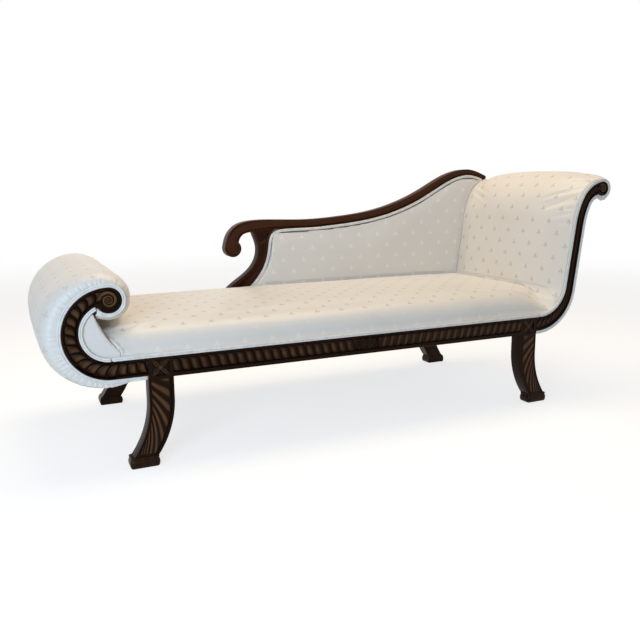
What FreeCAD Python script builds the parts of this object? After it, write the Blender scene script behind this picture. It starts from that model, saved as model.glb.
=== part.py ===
import FreeCAD, Part
import math
import os
from FreeCAD import Vector

os.makedirs("parts", exist_ok=True)

# Recamier: a scroll ended day couch with a stuffed seat, a low foot end, a high head end and a short back.
# Millimetres. X runs from the foot end to the head end, Y from front to back, Z up from the floor.
# While modelling, X is zero at the middle of the front rail and Y is zero at the middle of the seat.

# Seat frame
rail_length = 1252.0  # between the corner blocks
frame_depth = 710.0  # front face to rear face
rail_bottom = 260.0
rail_height = 60.0
rail_thickness = 35.0
block_width = 72.0
block_depth = 47.0
cross_rail_thickness = 35.0
brace_width = 40.0
brace_height = 34.0
brace_count = 2
tenon_length = 28.0
tenon_thickness = 12.0
tenon_shoulder = 9.0
joint_gap = 0.05
glue_block_leg = 62.0
glue_block_height = 42.0
screw_radius = 2.2
screw_length = 46.0
screw_head_radius = 4.6
screw_head_height = 3.2
screw_sink = 8.0
screw_inset = 20.0

# Gadrooned band of the front rail
lower_fillet = 12.0
upper_fillet = 6.0
carving_depth = 6.0
lobes_each_half = 21
lobe_lean = 11.0
middle_leaf_width = 84.0
middle_leaf_lobes = 5

# Sabre legs, drawn for the foot end and mirrored for the head end
leg_inner_straight = 62.0
leg_outer_straight = 70.0
leg_inner_radius = 284.0
leg_outer_radius = 270.0
leg_inner_turn = 37.0
leg_outer_turn = 36.5
foot_block_height = 28.0
foot_block_width = 80.0
foot_block_proud = 2.5
leg_margin = 8.0
leg_reeds = 9
reed_radius = 6.5
reed_rise = 3.0

# Scroll boards
board_lift = 10.0  # underside of the boards above the underside of the rail
board_margin = 7.0
foot_outer_radius = 128.0
foot_inner_radius = 82.0
foot_outer_straight = 94.0
foot_inner_straight = 96.0
foot_inner_turn = 164.0
foot_volute_radius = 35.0
foot_lobes = 17
head_outer_radius = 157.0
head_inner_radius = 118.0
head_outer_straight = 7.0
head_inner_straight = 15.0
head_lean = 82.6  # degrees that the head boards turn up from the floor
head_outer_rise = 243.0
head_inner_rise = 230.0
head_outer_bend = (250.0, 18.0)  # radius and degrees of the first outward bend
head_inner_bend = (270.0, 20.0)
head_outer_curl = (60.0, 60.0)
head_inner_curl = (115.0, 55.9)
head_volute_radius = 25.0
head_lobes = 27
volute_rim = 5.0
spiral_shrink = 0.74
batten_width = 42.0
batten_thickness = 18.0
bead_overlap = 0.2

# Back
crest_depth = 45.0
stile_depth = 41.0
post_width = 40.0
post_depth = 28.0
tacking_rail_height = 32.0
tacking_rail_bottom = 384.0
ball_radius = 33.0
web_count_back = 6
bolt_radius = 4.0
bolt_head_radius = 8.0
bolt_head_height = 4.0
bolt_sink = 3.0
bolt_reach = 34.0
bolt_spread = 20.0

# Upholstery
soft_gap = 0.3
web_width = 50.0
web_thickness = 1.8
web_count_long = 5
web_count_cross = 14
hessian_thickness = 0.8
seat_edge_height = 85.0  # crest of the bull nose above the hessian
seat_crown = 9.0  # further rise to the middle of the seat
nose_depth = 78.0
seat_inset = 8.0
head_pad_edge = 11.0
head_pad_thickness = 25.0
head_pad_crown = 9.0
head_roll_crown = 15.0  # extra fullness of the roll at the middle of the depth
head_wrap = 17.0
foot_roll_radius = 167.0
foot_roll_shoulder = 110.0
foot_roll_lip = 59.0
foot_roll_lip_drop = 12.0
foot_roll_tail = 90.0
foot_roll_drop = 18.0  # degrees that the underside of the roll falls away from the leg
foot_roll_run = 60.0
foot_roll_inset = 19.0  # how far the roll is drawn in at its front and rear edges
foot_face_crown = 7.0
back_pad_thickness = 21.0
back_pad_belly = 1.5
back_pad_clear = 6.0  # how far the seat stays in front of the back pad's lowest edge
cover_thickness = 7.0
welt_width = 11.0
welt_thickness = 6.0
welt_proud = 1.5
dust_cover_thickness = 1.0

# Values that follow from the ones above
rail_top = rail_bottom + rail_height
front = -frame_depth / 2
rear = frame_depth / 2
block_inner = rail_length / 2
block_outer = block_inner + block_width
board_bottom = rail_bottom + board_lift
deck_top = rail_top + 2 * web_thickness + hessian_thickness
board_back = front + rail_thickness
pad_front = front + welt_thickness + soft_gap
crest_front = rear - crest_depth
FOOT = -1
HEAD = 1


# Routes: runs of tangent lines and arcs, drawn as (x, z) pairs
# A run is (length, 0) for a line or (radius, degrees) for an arc, and a left turn is positive.
# A shift moves the whole route sideways, to its left when positive.
def route(start, heading, runs, shift=0.0):
    angle = math.radians(heading)
    x = start[0] - shift * math.sin(angle)
    z = start[1] + shift * math.cos(angle)
    pieces = []
    for size, turn in runs:
        if turn == 0:
            end = (x + size * math.cos(angle), z + size * math.sin(angle))
            pieces.append(((x, z), None, end))
        else:
            side = math.copysign(1.0, turn)
            radius = size - side * shift
            centre = (x - side * radius * math.sin(angle), z + side * radius * math.cos(angle))
            half = angle + math.radians(turn) / 2
            angle = angle + math.radians(turn)
            middle = arc_point(centre, side * radius, half)
            end = arc_point(centre, side * radius, angle)
            pieces.append(((x, z), middle, end))
        x, z = end
    return pieces


# The point of an arc where its direction is angle
def arc_point(centre, radius, angle):
    return (centre[0] + radius * math.sin(angle), centre[1] - radius * math.cos(angle))


def backwards(pieces):
    return [(last, middle, first) for first, middle, last in reversed(pieces)]


def arc_through(first, middle, last):
    return [(first, middle, last)]


def line(first, last):
    return [(first, None, last)]


# Joins lists of pieces end to end with straight lines and closes the outline
def outline(*groups):
    joined = []
    for group in groups:
        if joined and far(joined[-1][2], group[0][0]):
            joined += line(joined[-1][2], group[0][0])
        joined += group
    if far(joined[-1][2], joined[0][0]):
        joined += line(joined[-1][2], joined[0][0])
    return joined


def far(a, b):
    return math.hypot(a[0] - b[0], a[1] - b[1]) > 1e-6


# A closed wire in the plane at y, mirrored to the foot end when side is FOOT
def wire_at(pieces, y, side=HEAD):
    edges = []
    for first, middle, last in pieces:
        a = Vector(side * first[0], y, first[1])
        b = Vector(side * last[0], y, last[1])
        if middle is None:
            edges.append(Part.LineSegment(a, b).toShape())
        else:
            edges.append(Part.Arc(a, Vector(side * middle[0], y, middle[1]), b).toShape())
    return Part.Wire(edges)


# A plate with the outline, from y0 to y1
def plate(pieces, y0, y1, side=HEAD):
    return Part.Face(wire_at(pieces, y0, side)).extrude(Vector(0, y1 - y0, 0))


# A solid through outlines that stand at different y
def loft_across(stations, side=HEAD):
    wires = [wire_at(pieces, y, side) for y, pieces in stations]
    return Part.makeLoft(wires, True, True)


def box(x0, x1, y0, y1, z0, z1):
    return Part.makeBox(x1 - x0, y1 - y0, z1 - z0, Vector(x0, y0, z0))


def rod(radius, start, end):
    run = Vector(*end) - Vector(*start)
    return Part.makeCylinder(radius, run.Length, Vector(*start), run)


def mirror_x(shape):
    return shape.mirror(Vector(0, 0, 0), Vector(1, 0, 0))


def mirror_y(shape):
    return shape.mirror(Vector(0, 0, 0), Vector(0, 1, 0))


# The point a fraction of the way along a route, measured by the length of its pieces
def point_along(pieces, fraction):
    curves = [piece_edge(piece) for piece in pieces]
    lengths = [curve.Length for curve in curves]
    left = max(0.0, min(1.0, fraction)) * sum(lengths)
    for curve, length in zip(curves, lengths):
        if left <= length or curve is curves[-1]:
            here = curve.valueAt(curve.getParameterByLength(min(left, length)))
            return (here.x, here.z)
        left -= length


def piece_edge(piece):
    first, middle, last = [None if p is None else Vector(p[0], 0, p[1]) for p in piece]
    if middle is None:
        return Part.LineSegment(first, last).toShape()
    return Part.Arc(first, middle, last).toShape()


# Edges of the scroll boards, both drawn towards positive x
foot_outer_runs = [(foot_outer_straight, 0), (foot_outer_radius, 90), (foot_outer_radius, 90)]
foot_volute_runs = [(foot_volute_radius, 80), (foot_volute_radius, 80), (foot_volute_radius, 80)]
foot_inner_runs = [
    (foot_inner_straight, 0),
    (foot_inner_radius, foot_inner_turn / 2),
    (foot_inner_radius, foot_inner_turn / 2),
]
head_outer_runs = [
    (head_outer_straight, 0),
    (head_outer_radius, head_lean),
    (head_outer_rise, 0),
    (head_outer_bend[0], -head_outer_bend[1]),
    (head_outer_curl[0], -head_outer_curl[1]),
]
head_inner_runs = [
    (head_inner_straight, 0),
    (head_inner_radius, head_lean),
    (head_inner_rise, 0),
    (head_inner_bend[0], -head_inner_bend[1]),
    (head_inner_curl[0], -head_inner_curl[1]),
]
outer_start = (block_outer, board_bottom)
inner_start = (block_outer, rail_top)


def foot_outer(shift=0.0):
    return route(outer_start, 0, foot_outer_runs, shift)


def foot_inner(shift=0.0):
    return route(inner_start, 0, foot_inner_runs, shift)


def head_outer(shift=0.0):
    return route(outer_start, 0, head_outer_runs, shift)


def head_inner(shift=0.0):
    return route(inner_start, 0, head_inner_runs, shift)


# The volutes hang from the ends of the edges that run into them
def foot_volute_centre():
    top = foot_outer()[-1][2]
    return (top[0], top[1] - foot_volute_radius)


def head_volute_centre():
    end = head_inner()[-1][2]
    heading = math.radians(head_lean - head_inner_bend[1] - head_inner_curl[1])
    return (
        end[0] + head_volute_radius * math.sin(heading),
        end[1] - head_volute_radius * math.cos(heading),
    )


# A bead that winds inwards, standing from y0 to y1
def spiral_bead(centre, radius, y0, y1, turns, side):
    width = radius * 0.2
    runs = []
    size = radius
    for _ in range(turns):
        runs.append((size, 80))
        size *= spiral_shrink
    start = (centre[0], centre[1] - radius)
    outer = route(start, 0, runs)
    inner = route(start, 0, [(max(size - width, 0.6), turn) for size, turn in runs])
    inner = [tuple(lift(p, width) for p in piece) for piece in inner]
    return plate(outline(outer, backwards(inner)), y0, y1, side)


def lift(point, height):
    return (point[0], point[1] + height)


# Slanted lobes that fill a band between two routes, like the strands of a rope
def rope_lobes(outer, inner, count, lean, side):
    lobes = []
    ground = front + carving_depth
    step = 1.0 / count
    for index in range(count):
        at = (index + 0.5) * step
        low = point_along(outer, at - lean * step)
        high = point_along(inner, at + lean * step)
        beside = point_along(outer, at + (1 - lean) * step)
        beside_in = point_along(inner, at + (1 + lean) * step)
        pitch = (math.dist(low, beside) + math.dist(high, beside_in)) / 2
        radius = (pitch**2 / 4 + carving_depth**2) / (2 * carving_depth)
        y = ground - carving_depth + radius
        lobes.append(rod(radius, (side * low[0], y, low[1]), (side * high[0], y, high[1])))
    return lobes[0].multiFuse(lobes[1:])


# One scroll board: a band that ends in a volute, with a tenon for the corner block
def scroll_board(outer, inner, centre, radius, side):
    band = plate(outline(outer, backwards(inner)), front, board_back, side)
    disc = rod(radius, (side * centre[0], front, centre[1]), (side * centre[0], board_back, centre[1]))
    tenon_y = (front + board_back) / 2
    tenon = box(
        block_outer - tenon_length,
        block_outer,
        tenon_y - tenon_thickness / 2,
        tenon_y + tenon_thickness / 2,
        board_bottom + tenon_shoulder,
        rail_top - tenon_shoulder,
    )
    if side == FOOT:
        tenon = mirror_x(tenon)
    return band.fuse([disc, tenon]).removeSplitter()


# Sinks the band's ground and raises the lobes and the volute's winding bead on it
def carve(board, outer, inner, centre, radius, lobes, side, lean):
    ground = front + carving_depth
    face = (side * centre[0], front, centre[1])
    floor = (side * centre[0], ground, centre[1])
    eye = rod(radius - volute_rim, face, floor)
    collar = rod(radius, face, floor)
    sunk = plate(outline(outer, backwards(inner)), front, ground, side).cut(collar)
    rope = rope_lobes(outer, inner, lobes, lean, side).common(sunk)
    bead_radius = radius - volute_rim + bead_overlap
    bead = spiral_bead(centre, bead_radius, front, ground, 7, side)
    return board.cut(sunk).cut(eye).fuse([rope, bead])


def foot_scroll(carved):
    centre = foot_volute_centre()
    board = scroll_board(foot_outer(), foot_inner(), centre, foot_volute_radius, FOOT)
    if not carved:
        return mirror_y(board)
    outer = foot_outer(board_margin)
    inner = foot_inner(-board_margin)
    return carve(board, outer, inner, centre, foot_volute_radius, foot_lobes, FOOT, 0.3)


def head_scroll(carved):
    centre = head_volute_centre()
    board = scroll_board(head_outer(), head_inner(), centre, head_volute_radius, HEAD)
    if not carved:
        return mirror_y(board)
    outer = head_outer(board_margin)
    inner = head_inner(-board_margin)
    return carve(board, outer, inner, centre, head_volute_radius, head_lobes, HEAD, 0.5)


# Seat rails
def plain_rail():
    body = box(-block_inner, block_inner, front, board_back, rail_bottom, rail_top)
    tenon_y = (front + board_back) / 2
    tenons = box(
        -block_inner - tenon_length,
        block_inner + tenon_length,
        tenon_y - tenon_thickness / 2,
        tenon_y + tenon_thickness / 2,
        rail_bottom + tenon_shoulder,
        rail_top - tenon_shoulder,
    )
    return body.fuse(tenons).removeSplitter()


# Half of the gadrooned band: a scalloped outline drawn on the band's floor and pulled up on a slant
def gadroons(side):
    ground = front + carving_depth
    band_bottom = rail_bottom + lower_fillet
    band_top = rail_top - upper_fillet
    start = middle_leaf_width / 2
    pitch = (block_inner - start) / lobes_each_half
    edges = []
    x = start - pitch
    for _ in range(lobes_each_half + 1):
        a = Vector(side * x, ground, band_bottom)
        b = Vector(side * (x + pitch), ground, band_bottom)
        edges.append(Part.Arc(a, Vector(side * (x + pitch / 2), front, band_bottom), b).toShape())
        x += pitch
    first = Vector(side * (start - pitch), ground, band_bottom)
    last = Vector(side * x, ground, band_bottom)
    behind = Vector(0, carving_depth / 2, 0)
    edges.append(Part.LineSegment(last, last + behind).toShape())
    edges.append(Part.LineSegment(last + behind, first + behind).toShape())
    edges.append(Part.LineSegment(first + behind, first).toShape())
    scallops = Part.Face(Part.Wire(edges)).extrude(Vector(side * lobe_lean, 0, band_top - band_bottom))
    reach = sorted((side * start, side * block_inner))
    return scallops.common(box(reach[0], reach[1], front, ground + carving_depth, band_bottom, band_top))


# The leaf at the middle of the rail: upright leaflets that spread from a central rib
def middle_leaf():
    ground = front + carving_depth
    foot_z = rail_bottom + lower_fillet
    head_z = rail_top - upper_fillet
    leaflets = []
    for index in range(middle_leaf_lobes):
        spread = index - (middle_leaf_lobes - 1) / 2
        reach = spread * middle_leaf_width / (middle_leaf_lobes + 1)
        base = (reach * 0.55, ground, foot_z)
        tip = (reach * 1.15, ground, head_z)
        leaflets.append(rod(carving_depth - 0.5, base, tip))
    window = box(-middle_leaf_width / 2, middle_leaf_width / 2, front, ground + 1, foot_z, head_z)
    return leaflets[0].multiFuse(leaflets[1:]).common(window)


def front_seat_rail():
    band = box(
        -block_inner,
        block_inner,
        front,
        front + carving_depth,
        rail_bottom + lower_fillet,
        rail_top - upper_fillet,
    )
    rail = plain_rail().cut(band)
    return rail.fuse([gadroons(HEAD), gadroons(FOOT), middle_leaf()])


def cross_rail(side):
    reach = rear - block_depth
    body = box(block_inner, block_inner + cross_rail_thickness, -reach, reach, rail_bottom, rail_top)
    middle_x = block_inner + cross_rail_thickness / 2
    tenon_reach = reach + block_depth - rail_thickness + joint_gap
    tenon = box(
        middle_x - tenon_thickness / 2,
        middle_x + tenon_thickness / 2,
        -tenon_reach,
        tenon_reach,
        rail_bottom + tenon_shoulder,
        rail_top - tenon_shoulder,
    )
    rail = body.fuse(tenon).removeSplitter()
    return rail if side == HEAD else mirror_x(rail)


# Legs. The outline runs down the outer edge, round the foot block and up the inner edge.
def leg_outline(margin=0.0):
    outer = route(
        (block_outer, rail_bottom),
        -90,
        [(leg_outer_straight, 0), (leg_outer_radius, leg_outer_turn)],
        -margin,
    )
    inner = route(
        (block_inner, rail_bottom),
        -90,
        [(leg_inner_straight, 0), (leg_inner_radius, leg_inner_turn)],
        margin,
    )
    return outline(outer, backwards(inner))


def foot_block():
    low_inner = route(
        (block_inner, rail_bottom), -90, [(leg_inner_straight, 0), (leg_inner_radius, leg_inner_turn)]
    )[-1][2]
    heel = low_inner[0] - 5.0
    toe = heel + foot_block_width
    top = foot_block_height
    pieces = outline(
        arc_through((heel + 3, 0), (heel - 1, top * 0.45), (heel + 5, top)),
        arc_through((toe - 6, top + 3), (toe + 1, top * 0.5), (toe - 3, 0)),
    )
    return plate(pieces, front - foot_block_proud, front + block_depth + foot_block_proud)


# Slanted reeds that fan down the face of a front leg
def leg_reeding():
    face = leg_outline(leg_margin)
    outer = route(
        (block_outer, rail_bottom), -90, [(leg_outer_straight, 0), (leg_outer_radius, leg_outer_turn)]
    )
    inner = route(
        (block_inner, rail_bottom), -90, [(leg_inner_straight, 0), (leg_inner_radius, leg_inner_turn)]
    )
    reeds = []
    for index in range(leg_reeds):
        share = (index + 0.5) / leg_reeds
        high = point_along(outer, share - 0.24)
        low = point_along(inner, min(1.0, share + 0.2))
        y = front + reed_radius - reed_rise
        lean = Vector(low[0] - high[0], 0, low[1] - high[1])
        begin = Vector(high[0], y, high[1]) - lean * 0.25
        end = Vector(low[0], y, low[1]) + lean * 0.25
        reeds.append(rod(reed_radius, tuple(begin), tuple(end)))
    window = plate(face, front - reed_rise, front + 1)
    foot_top = foot_block_height + 6
    window = window.common(box(0, 2 * block_outer, front - reed_rise, front + 1, foot_top, rail_bottom - 6))
    return reeds[0].multiFuse(reeds[1:]).common(window)


# The carved square of a corner block: four leaves about a boss
def block_rosette():
    ground = front + carving_depth / 2
    middle_x = (block_inner + block_outer) / 2
    middle_z = (rail_bottom + rail_top) / 2
    reach = rail_height / 2 - 7
    sunk = box(middle_x - reach, middle_x + reach, front, ground, middle_z - reach, middle_z + reach)
    leaves = [rod(7, (middle_x, front, middle_z), (middle_x, ground, middle_z))]
    for quarter in range(4):
        angle = math.radians(45 + 90 * quarter)
        tip = (middle_x + reach * 1.3 * math.cos(angle), ground, middle_z + reach * 1.3 * math.sin(angle))
        leaves.append(rod(carving_depth / 2, (middle_x, ground, middle_z), tip))
    carving = leaves[0].multiFuse(leaves[1:]).common(sunk)
    return sunk, carving


def leg(side, at_front):
    shaft = plate(leg_outline(), front, front + block_depth)
    block = box(block_inner, block_outer, front, front + block_depth, rail_bottom, rail_top)
    floor_cut = box(0, 2 * block_outer, 2 * front, 0, -rail_bottom, 0)
    whole = shaft.fuse([block, foot_block()]).removeSplitter().cut(floor_cut)
    if at_front:
        sunk, carving = block_rosette()
        whole = whole.cut(sunk).fuse([carving, leg_reeding()])
    whole = whole.cut(mortises())
    if side == FOOT:
        whole = mirror_x(whole)
    return whole if at_front else mirror_y(whole)


# Mortises of one corner block, for the seat rail, the scroll board and the cross rail
def mortises():
    middle_y = front + rail_thickness / 2
    half = tenon_thickness / 2 + joint_gap
    deep = tenon_length + joint_gap
    low = rail_bottom + tenon_shoulder - joint_gap
    high = rail_top - tenon_shoulder + joint_gap
    for_rail = box(block_inner, block_inner + deep, middle_y - half, middle_y + half, low, high)
    for_board = box(block_outer - deep, block_outer, middle_y - half, middle_y + half, low + board_lift, high)
    middle_x = block_inner + cross_rail_thickness / 2
    cross_end = front + rail_thickness - 2 * joint_gap
    for_cross = box(middle_x - half, middle_x + half, cross_end, front + block_depth, low, high)
    return for_rail.fuse([for_board, for_cross])


# Inner frame
def brace_places():
    pitch = rail_length / (brace_count + 1)
    return [-block_inner + pitch * (index + 1) for index in range(brace_count)]


def seat_braces():
    top = rail_top - 10
    braces = []
    for x in brace_places():
        half = brace_width / 2
        braces.append(box(x - half, x + half, board_back, -board_back, top - brace_height, top))
    return Part.makeCompound(braces)


def glue_block(side_x, side_y):
    z = rail_bottom + (rail_height - glue_block_height) / 2
    corner = Vector(block_inner, board_back, z)
    edge_x = corner + Vector(-glue_block_leg, 0, 0)
    edge_y = corner + Vector(0, glue_block_leg, 0)
    triangle = Part.Face(Part.makePolygon([corner, edge_x, edge_y, corner]))
    block = triangle.extrude(Vector(0, 0, glue_block_height))
    block = block.cut(box(block_inner, block_outer, front, front + block_depth, rail_bottom, rail_top))
    for head, direction in screw_places():
        block = block.cut(screw(head, direction, joint_gap))
        mouth = Part.makeCylinder(screw_head_radius + joint_gap, glue_block_leg, head, direction * -1)
        block = block.cut(mouth)
    return turned(block, side_x, side_y)


# Heads and directions of the two screws in a glue block, one into the seat rail and one into the cross rail
def screw_places():
    middle_z = (rail_bottom + rail_top) / 2
    depth = glue_block_leg - screw_inset - screw_sink
    seat_head = Vector(block_inner - screw_inset, board_back + depth, middle_z - screw_sink)
    cross_head = Vector(block_inner - depth, board_back + screw_inset, middle_z + screw_sink)
    return [(seat_head, Vector(0, -1, 0)), (cross_head, Vector(1, 0, 0))]


def screw(head, direction, extra=0.0):
    shank = Part.makeCylinder(screw_radius + extra, screw_length + extra, head, direction)
    cap = Part.makeCylinder(screw_head_radius + extra, screw_head_height + extra, head, direction)
    return shank.fuse(cap).removeSplitter()


def block_screws(side_x, side_y, extra=0.0):
    return [turned(screw(head, direction, extra), side_x, side_y) for head, direction in screw_places()]


def all_screws(extra=0.0):
    return [shape for corner in corners for shape in block_screws(*corner, extra)]


def turned(shape, side_x, side_y):
    if side_x == FOOT:
        shape = mirror_x(shape)
    return mirror_y(shape) if side_y > 0 else shape


corners = [(side_x, side_y) for side_x in (FOOT, HEAD) for side_y in (-1, 1)]


# Battens that join the front and rear scroll boards and carry the stuffing
def batten(centre, angle, side):
    half = batten_width / 2
    width = rear - rail_thickness
    shape = box(-half, half, -width, width, -batten_thickness, 0)
    shape.rotate(Vector(0, 0, 0), Vector(0, 1, 0), -angle)
    shape.translate(Vector(centre[0], 0, centre[1]))
    return shape if side == HEAD else mirror_x(shape)


# Position and slope of a batten whose outer face lies on the edge route
def on_route(pieces, fraction):
    here = point_along(pieces, fraction)
    ahead = point_along(pieces, min(1.0, fraction + 0.01))
    behind = point_along(pieces, fraction - 0.01)
    slope = math.degrees(math.atan2(ahead[1] - behind[1], ahead[0] - behind[0]))
    return here, slope


def foot_scroll_battens():
    battens = []
    sunk = foot_outer(3.0)
    for fraction in (0.16, 0.38, 0.56, 0.74, 0.92):
        here, slope = on_route(sunk, fraction)
        battens.append(batten(here, slope + 180, FOOT))
    centre = foot_volute_centre()
    reach = rear - rail_thickness
    radius = foot_volute_radius * 0.5
    battens.append(rod(radius, (-centre[0], -reach, centre[1]), (-centre[0], reach, centre[1])))
    return Part.makeCompound(battens)


def head_scroll_battens():
    battens = []
    sunk = head_inner(-2.0)
    for fraction in (0.14, 0.3, 0.48, 0.66, 0.82):
        here, slope = on_route(sunk, fraction)
        battens.append(batten(here, slope, HEAD))
    centre = head_volute_centre()
    reach = rear - rail_thickness
    radius = head_volute_radius * 0.6
    battens.append(rod(radius, (centre[0], -reach, centre[1]), (centre[0], reach, centre[1])))
    return Part.makeCompound(battens)


# Back frame, drawn from the head end's corner: x from its outer side and z from the rail's top
# The crest's upper edge, as x, z and the thickness of the rail below it
crest_from_corner = [
    (-960, 238, 60),
    (-946, 286, 51),
    (-910, 325, 45),
    (-848, 342, 44),
    (-758, 344, 38),
    (-618, 341, 32),
    (-458, 351, 31),
    (-308, 372, 31),
    (-188, 405, 31),
    (-58, 461, 30),
    (50, 516, 28),
    (117, 537, 26),
    (176, 542, 25),
    (231, 529, 23),
    (269, 514, 20),
]
stile_left_from_corner = [
    (-848, 310),
    (-836, 280),
    (-824, 240),
    (-836, 180),
    (-876, 135),
    (-936, 92),
    (-974, 48),
    (-988, 0),
]
stile_right_from_corner = [
    (-902, 0),
    (-890, 46),
    (-848, 101),
    (-802, 167),
    (-784, 235),
    (-778, 276),
    (-738, 320),
]
crest_line = [(block_outer + x, rail_top + z, thickness) for x, z, thickness in crest_from_corner]
crook_ball = (block_outer - 925, rail_top + 236)
stile_left = [(block_outer + x, rail_top + z) for x, z in stile_left_from_corner]
stile_right = [(block_outer + x, rail_top + z) for x, z in stile_right_from_corner]
back_pad_stations = (-928, -788, -638, -478, -318, -178, -58, 42, 132, 202, 242)


# Points of the crest line moved below it, by its thickness and a further drop
def below_crest(share, drop):
    moved = []
    last = len(crest_line) - 1
    for index, (x, z, thickness) in enumerate(crest_line):
        ahead = crest_line[min(index + 1, last)]
        behind = crest_line[max(index - 1, 0)]
        slope = math.atan2(ahead[1] - behind[1], ahead[0] - behind[0])
        depth = thickness * share + drop
        moved.append(Vector(x + depth * math.sin(slope), 0, z - depth * math.cos(slope)))
    return moved


def smooth(points):
    curve = Part.BSplineCurve()
    curve.interpolate(points)
    return curve


def crest_rail():
    upper = smooth(below_crest(0, 0)).toShape()
    lower = smooth(below_crest(1, 0)).toShape()
    ends = [
        Part.LineSegment(upper.firstVertex().Point, lower.firstVertex().Point).toShape(),
        Part.LineSegment(upper.lastVertex().Point, lower.lastVertex().Point).toShape(),
    ]
    face = Part.Face(Part.Wire(Part.sortEdges([upper, lower] + ends)[0]))
    rail = face.extrude(Vector(0, crest_depth, 0))
    rail.translate(Vector(0, crest_front, 0))
    ball = rod(ball_radius, (crook_ball[0], crest_front, crook_ball[1]), (crook_ball[0], rear, crook_ball[1]))
    return rail.fuse(ball).removeSplitter()


def stile_face(y):
    left = smooth([Vector(x, y, z) for x, z in stile_left]).toShape()
    right = smooth([Vector(x, y, z) for x, z in stile_right]).toShape()
    foot = Part.LineSegment(left.lastVertex().Point, right.firstVertex().Point).toShape()
    top = Part.LineSegment(right.lastVertex().Point, left.firstVertex().Point).toShape()
    return Part.Face(Part.Wire([left, foot, right, top]))


def back_stile(crest):
    y = crest_front + (crest_depth - stile_depth) / 2
    return stile_face(y).extrude(Vector(0, stile_depth, 0)).cut(crest)


# Height of a crest curve at x
def height_at(curve, x):
    low, high = curve.FirstParameter, curve.LastParameter
    for _ in range(40):
        middle = (low + high) / 2
        if curve.value(middle).x < x:
            low = middle
        else:
            high = middle
    return curve.value(low).z


post_x = block_inner + block_width / 2
post_front = crest_front + 6


def back_head_post(crest):
    half = post_width / 2
    top = height_at(smooth(below_crest(0.5, 0)), post_x)
    post = box(post_x - half, post_x + half, post_front, post_front + post_depth, rail_top, top)
    return post.cut(crest)


def back_tacking_rail(stile):
    half = post_width / 2
    low = tacking_rail_bottom
    rail = box(
        stile_right[2][0] - 60, post_x - half, post_front, post_front + 24, low, low + tacking_rail_height
    )
    whole = rail.cut(stile)
    return max(whole.Solids, key=lambda solid: solid.Volume)


def back_webbing(crest):
    start = stile_right[4][0] + web_width
    pitch = (post_x - post_width / 2 - web_width / 2 - start) / (web_count_back - 1)
    webs = []
    y = post_front + 12
    top_curve = smooth(below_crest(0.5, 0))
    for index in range(web_count_back):
        x = start + index * pitch
        top = height_at(top_curve, x)
        web = box(
            x - web_width / 2,
            x + web_width / 2,
            y,
            y + web_thickness,
            tacking_rail_bottom + tacking_rail_height,
            top,
        )
        webs.append(web.cut(crest))
    return Part.makeCompound([max(web.Solids, key=lambda solid: solid.Volume) for web in webs])


# Bolts that hold the stile's foot to the rear rail, with their heads sunk into its underside
def bolt_places():
    foot_x = (stile_left[-1][0] + stile_right[0][0]) / 2
    y = rear - rail_thickness / 2
    return [(foot_x - bolt_spread, y), (foot_x + bolt_spread, y)]


def frame_bolts(extra=0.0):
    bolts = []
    for x, y in bolt_places():
        head_z = rail_bottom + bolt_sink
        shank = rod(bolt_radius + extra, (x, y, head_z - extra), (x, y, rail_top + bolt_reach + extra))
        cap = rod(bolt_head_radius + extra, (x, y, head_z - extra), (x, y, head_z + bolt_head_height + extra))
        bolts.append(shank.fuse(cap).removeSplitter())
    return bolts


# The open counterbores below the bolt heads
def bolt_mouths():
    radius = bolt_head_radius + joint_gap
    top = rail_bottom + bolt_sink + bolt_head_height
    return [rod(radius, (x, y, rail_bottom - 1), (x, y, top)) for x, y in bolt_places()]


# Webbing, hessian and dust cover
# The stile's foot and the head post stand on the rear rail, so the cloth stops short of them.
def standing_space():
    high = deck_top + 1
    foot = (stile_left[-1][0] - soft_gap, stile_right[0][0] + 2)
    post = (post_x - post_width / 2 - soft_gap, post_x + post_width / 2 + soft_gap)
    return [box(x0, x1, crest_front, rear, rail_top - 1, high) for x0, x1 in (foot, post)]


def webbing_cross():
    reach = block_inner - web_width
    pitch = 2 * reach / (web_count_cross - 1)
    half = rear - 12
    foot_low = stile_left[-1][0]
    foot_high = stile_right[0][0] + 2
    webs = []
    for index in range(web_count_cross):
        x = -reach + index * pitch
        beside_stile = x + web_width / 2 > foot_low and x - web_width / 2 < foot_high
        back_end = crest_front if beside_stile else half
        webs.append(
            box(x - web_width / 2, x + web_width / 2, -half, back_end, rail_top, rail_top + web_thickness)
        )
    return webs


def webbing_long():
    reach = block_inner + cross_rail_thickness - 4
    span = 2 * (rear - rail_thickness) - web_width
    pitch = span / web_count_long
    low = rail_top + web_thickness
    webs = []
    for index in range(web_count_long):
        y = (index - (web_count_long - 1) / 2) * pitch
        webs.append(box(-reach, reach, y - web_width / 2, y + web_width / 2, low, low + web_thickness))
    return webs


def seat_hessian():
    reach = block_inner + cross_rail_thickness - 4
    low = deck_top - hessian_thickness
    half = rear - 14
    return box(-reach, reach, -half, half, low, deck_top).cut(standing_space())


def dust_cover():
    reach = block_inner - 2
    low = rail_bottom - dust_cover_thickness
    return box(-reach, reach, front + 14, rear - 14, low, rail_bottom)


# Pads of the head end
# The pad's face starts from the board's inner edge above the seat and lies a thickness inside it.
head_pad_start = 27.0
head_face_start = 48.0


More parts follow.
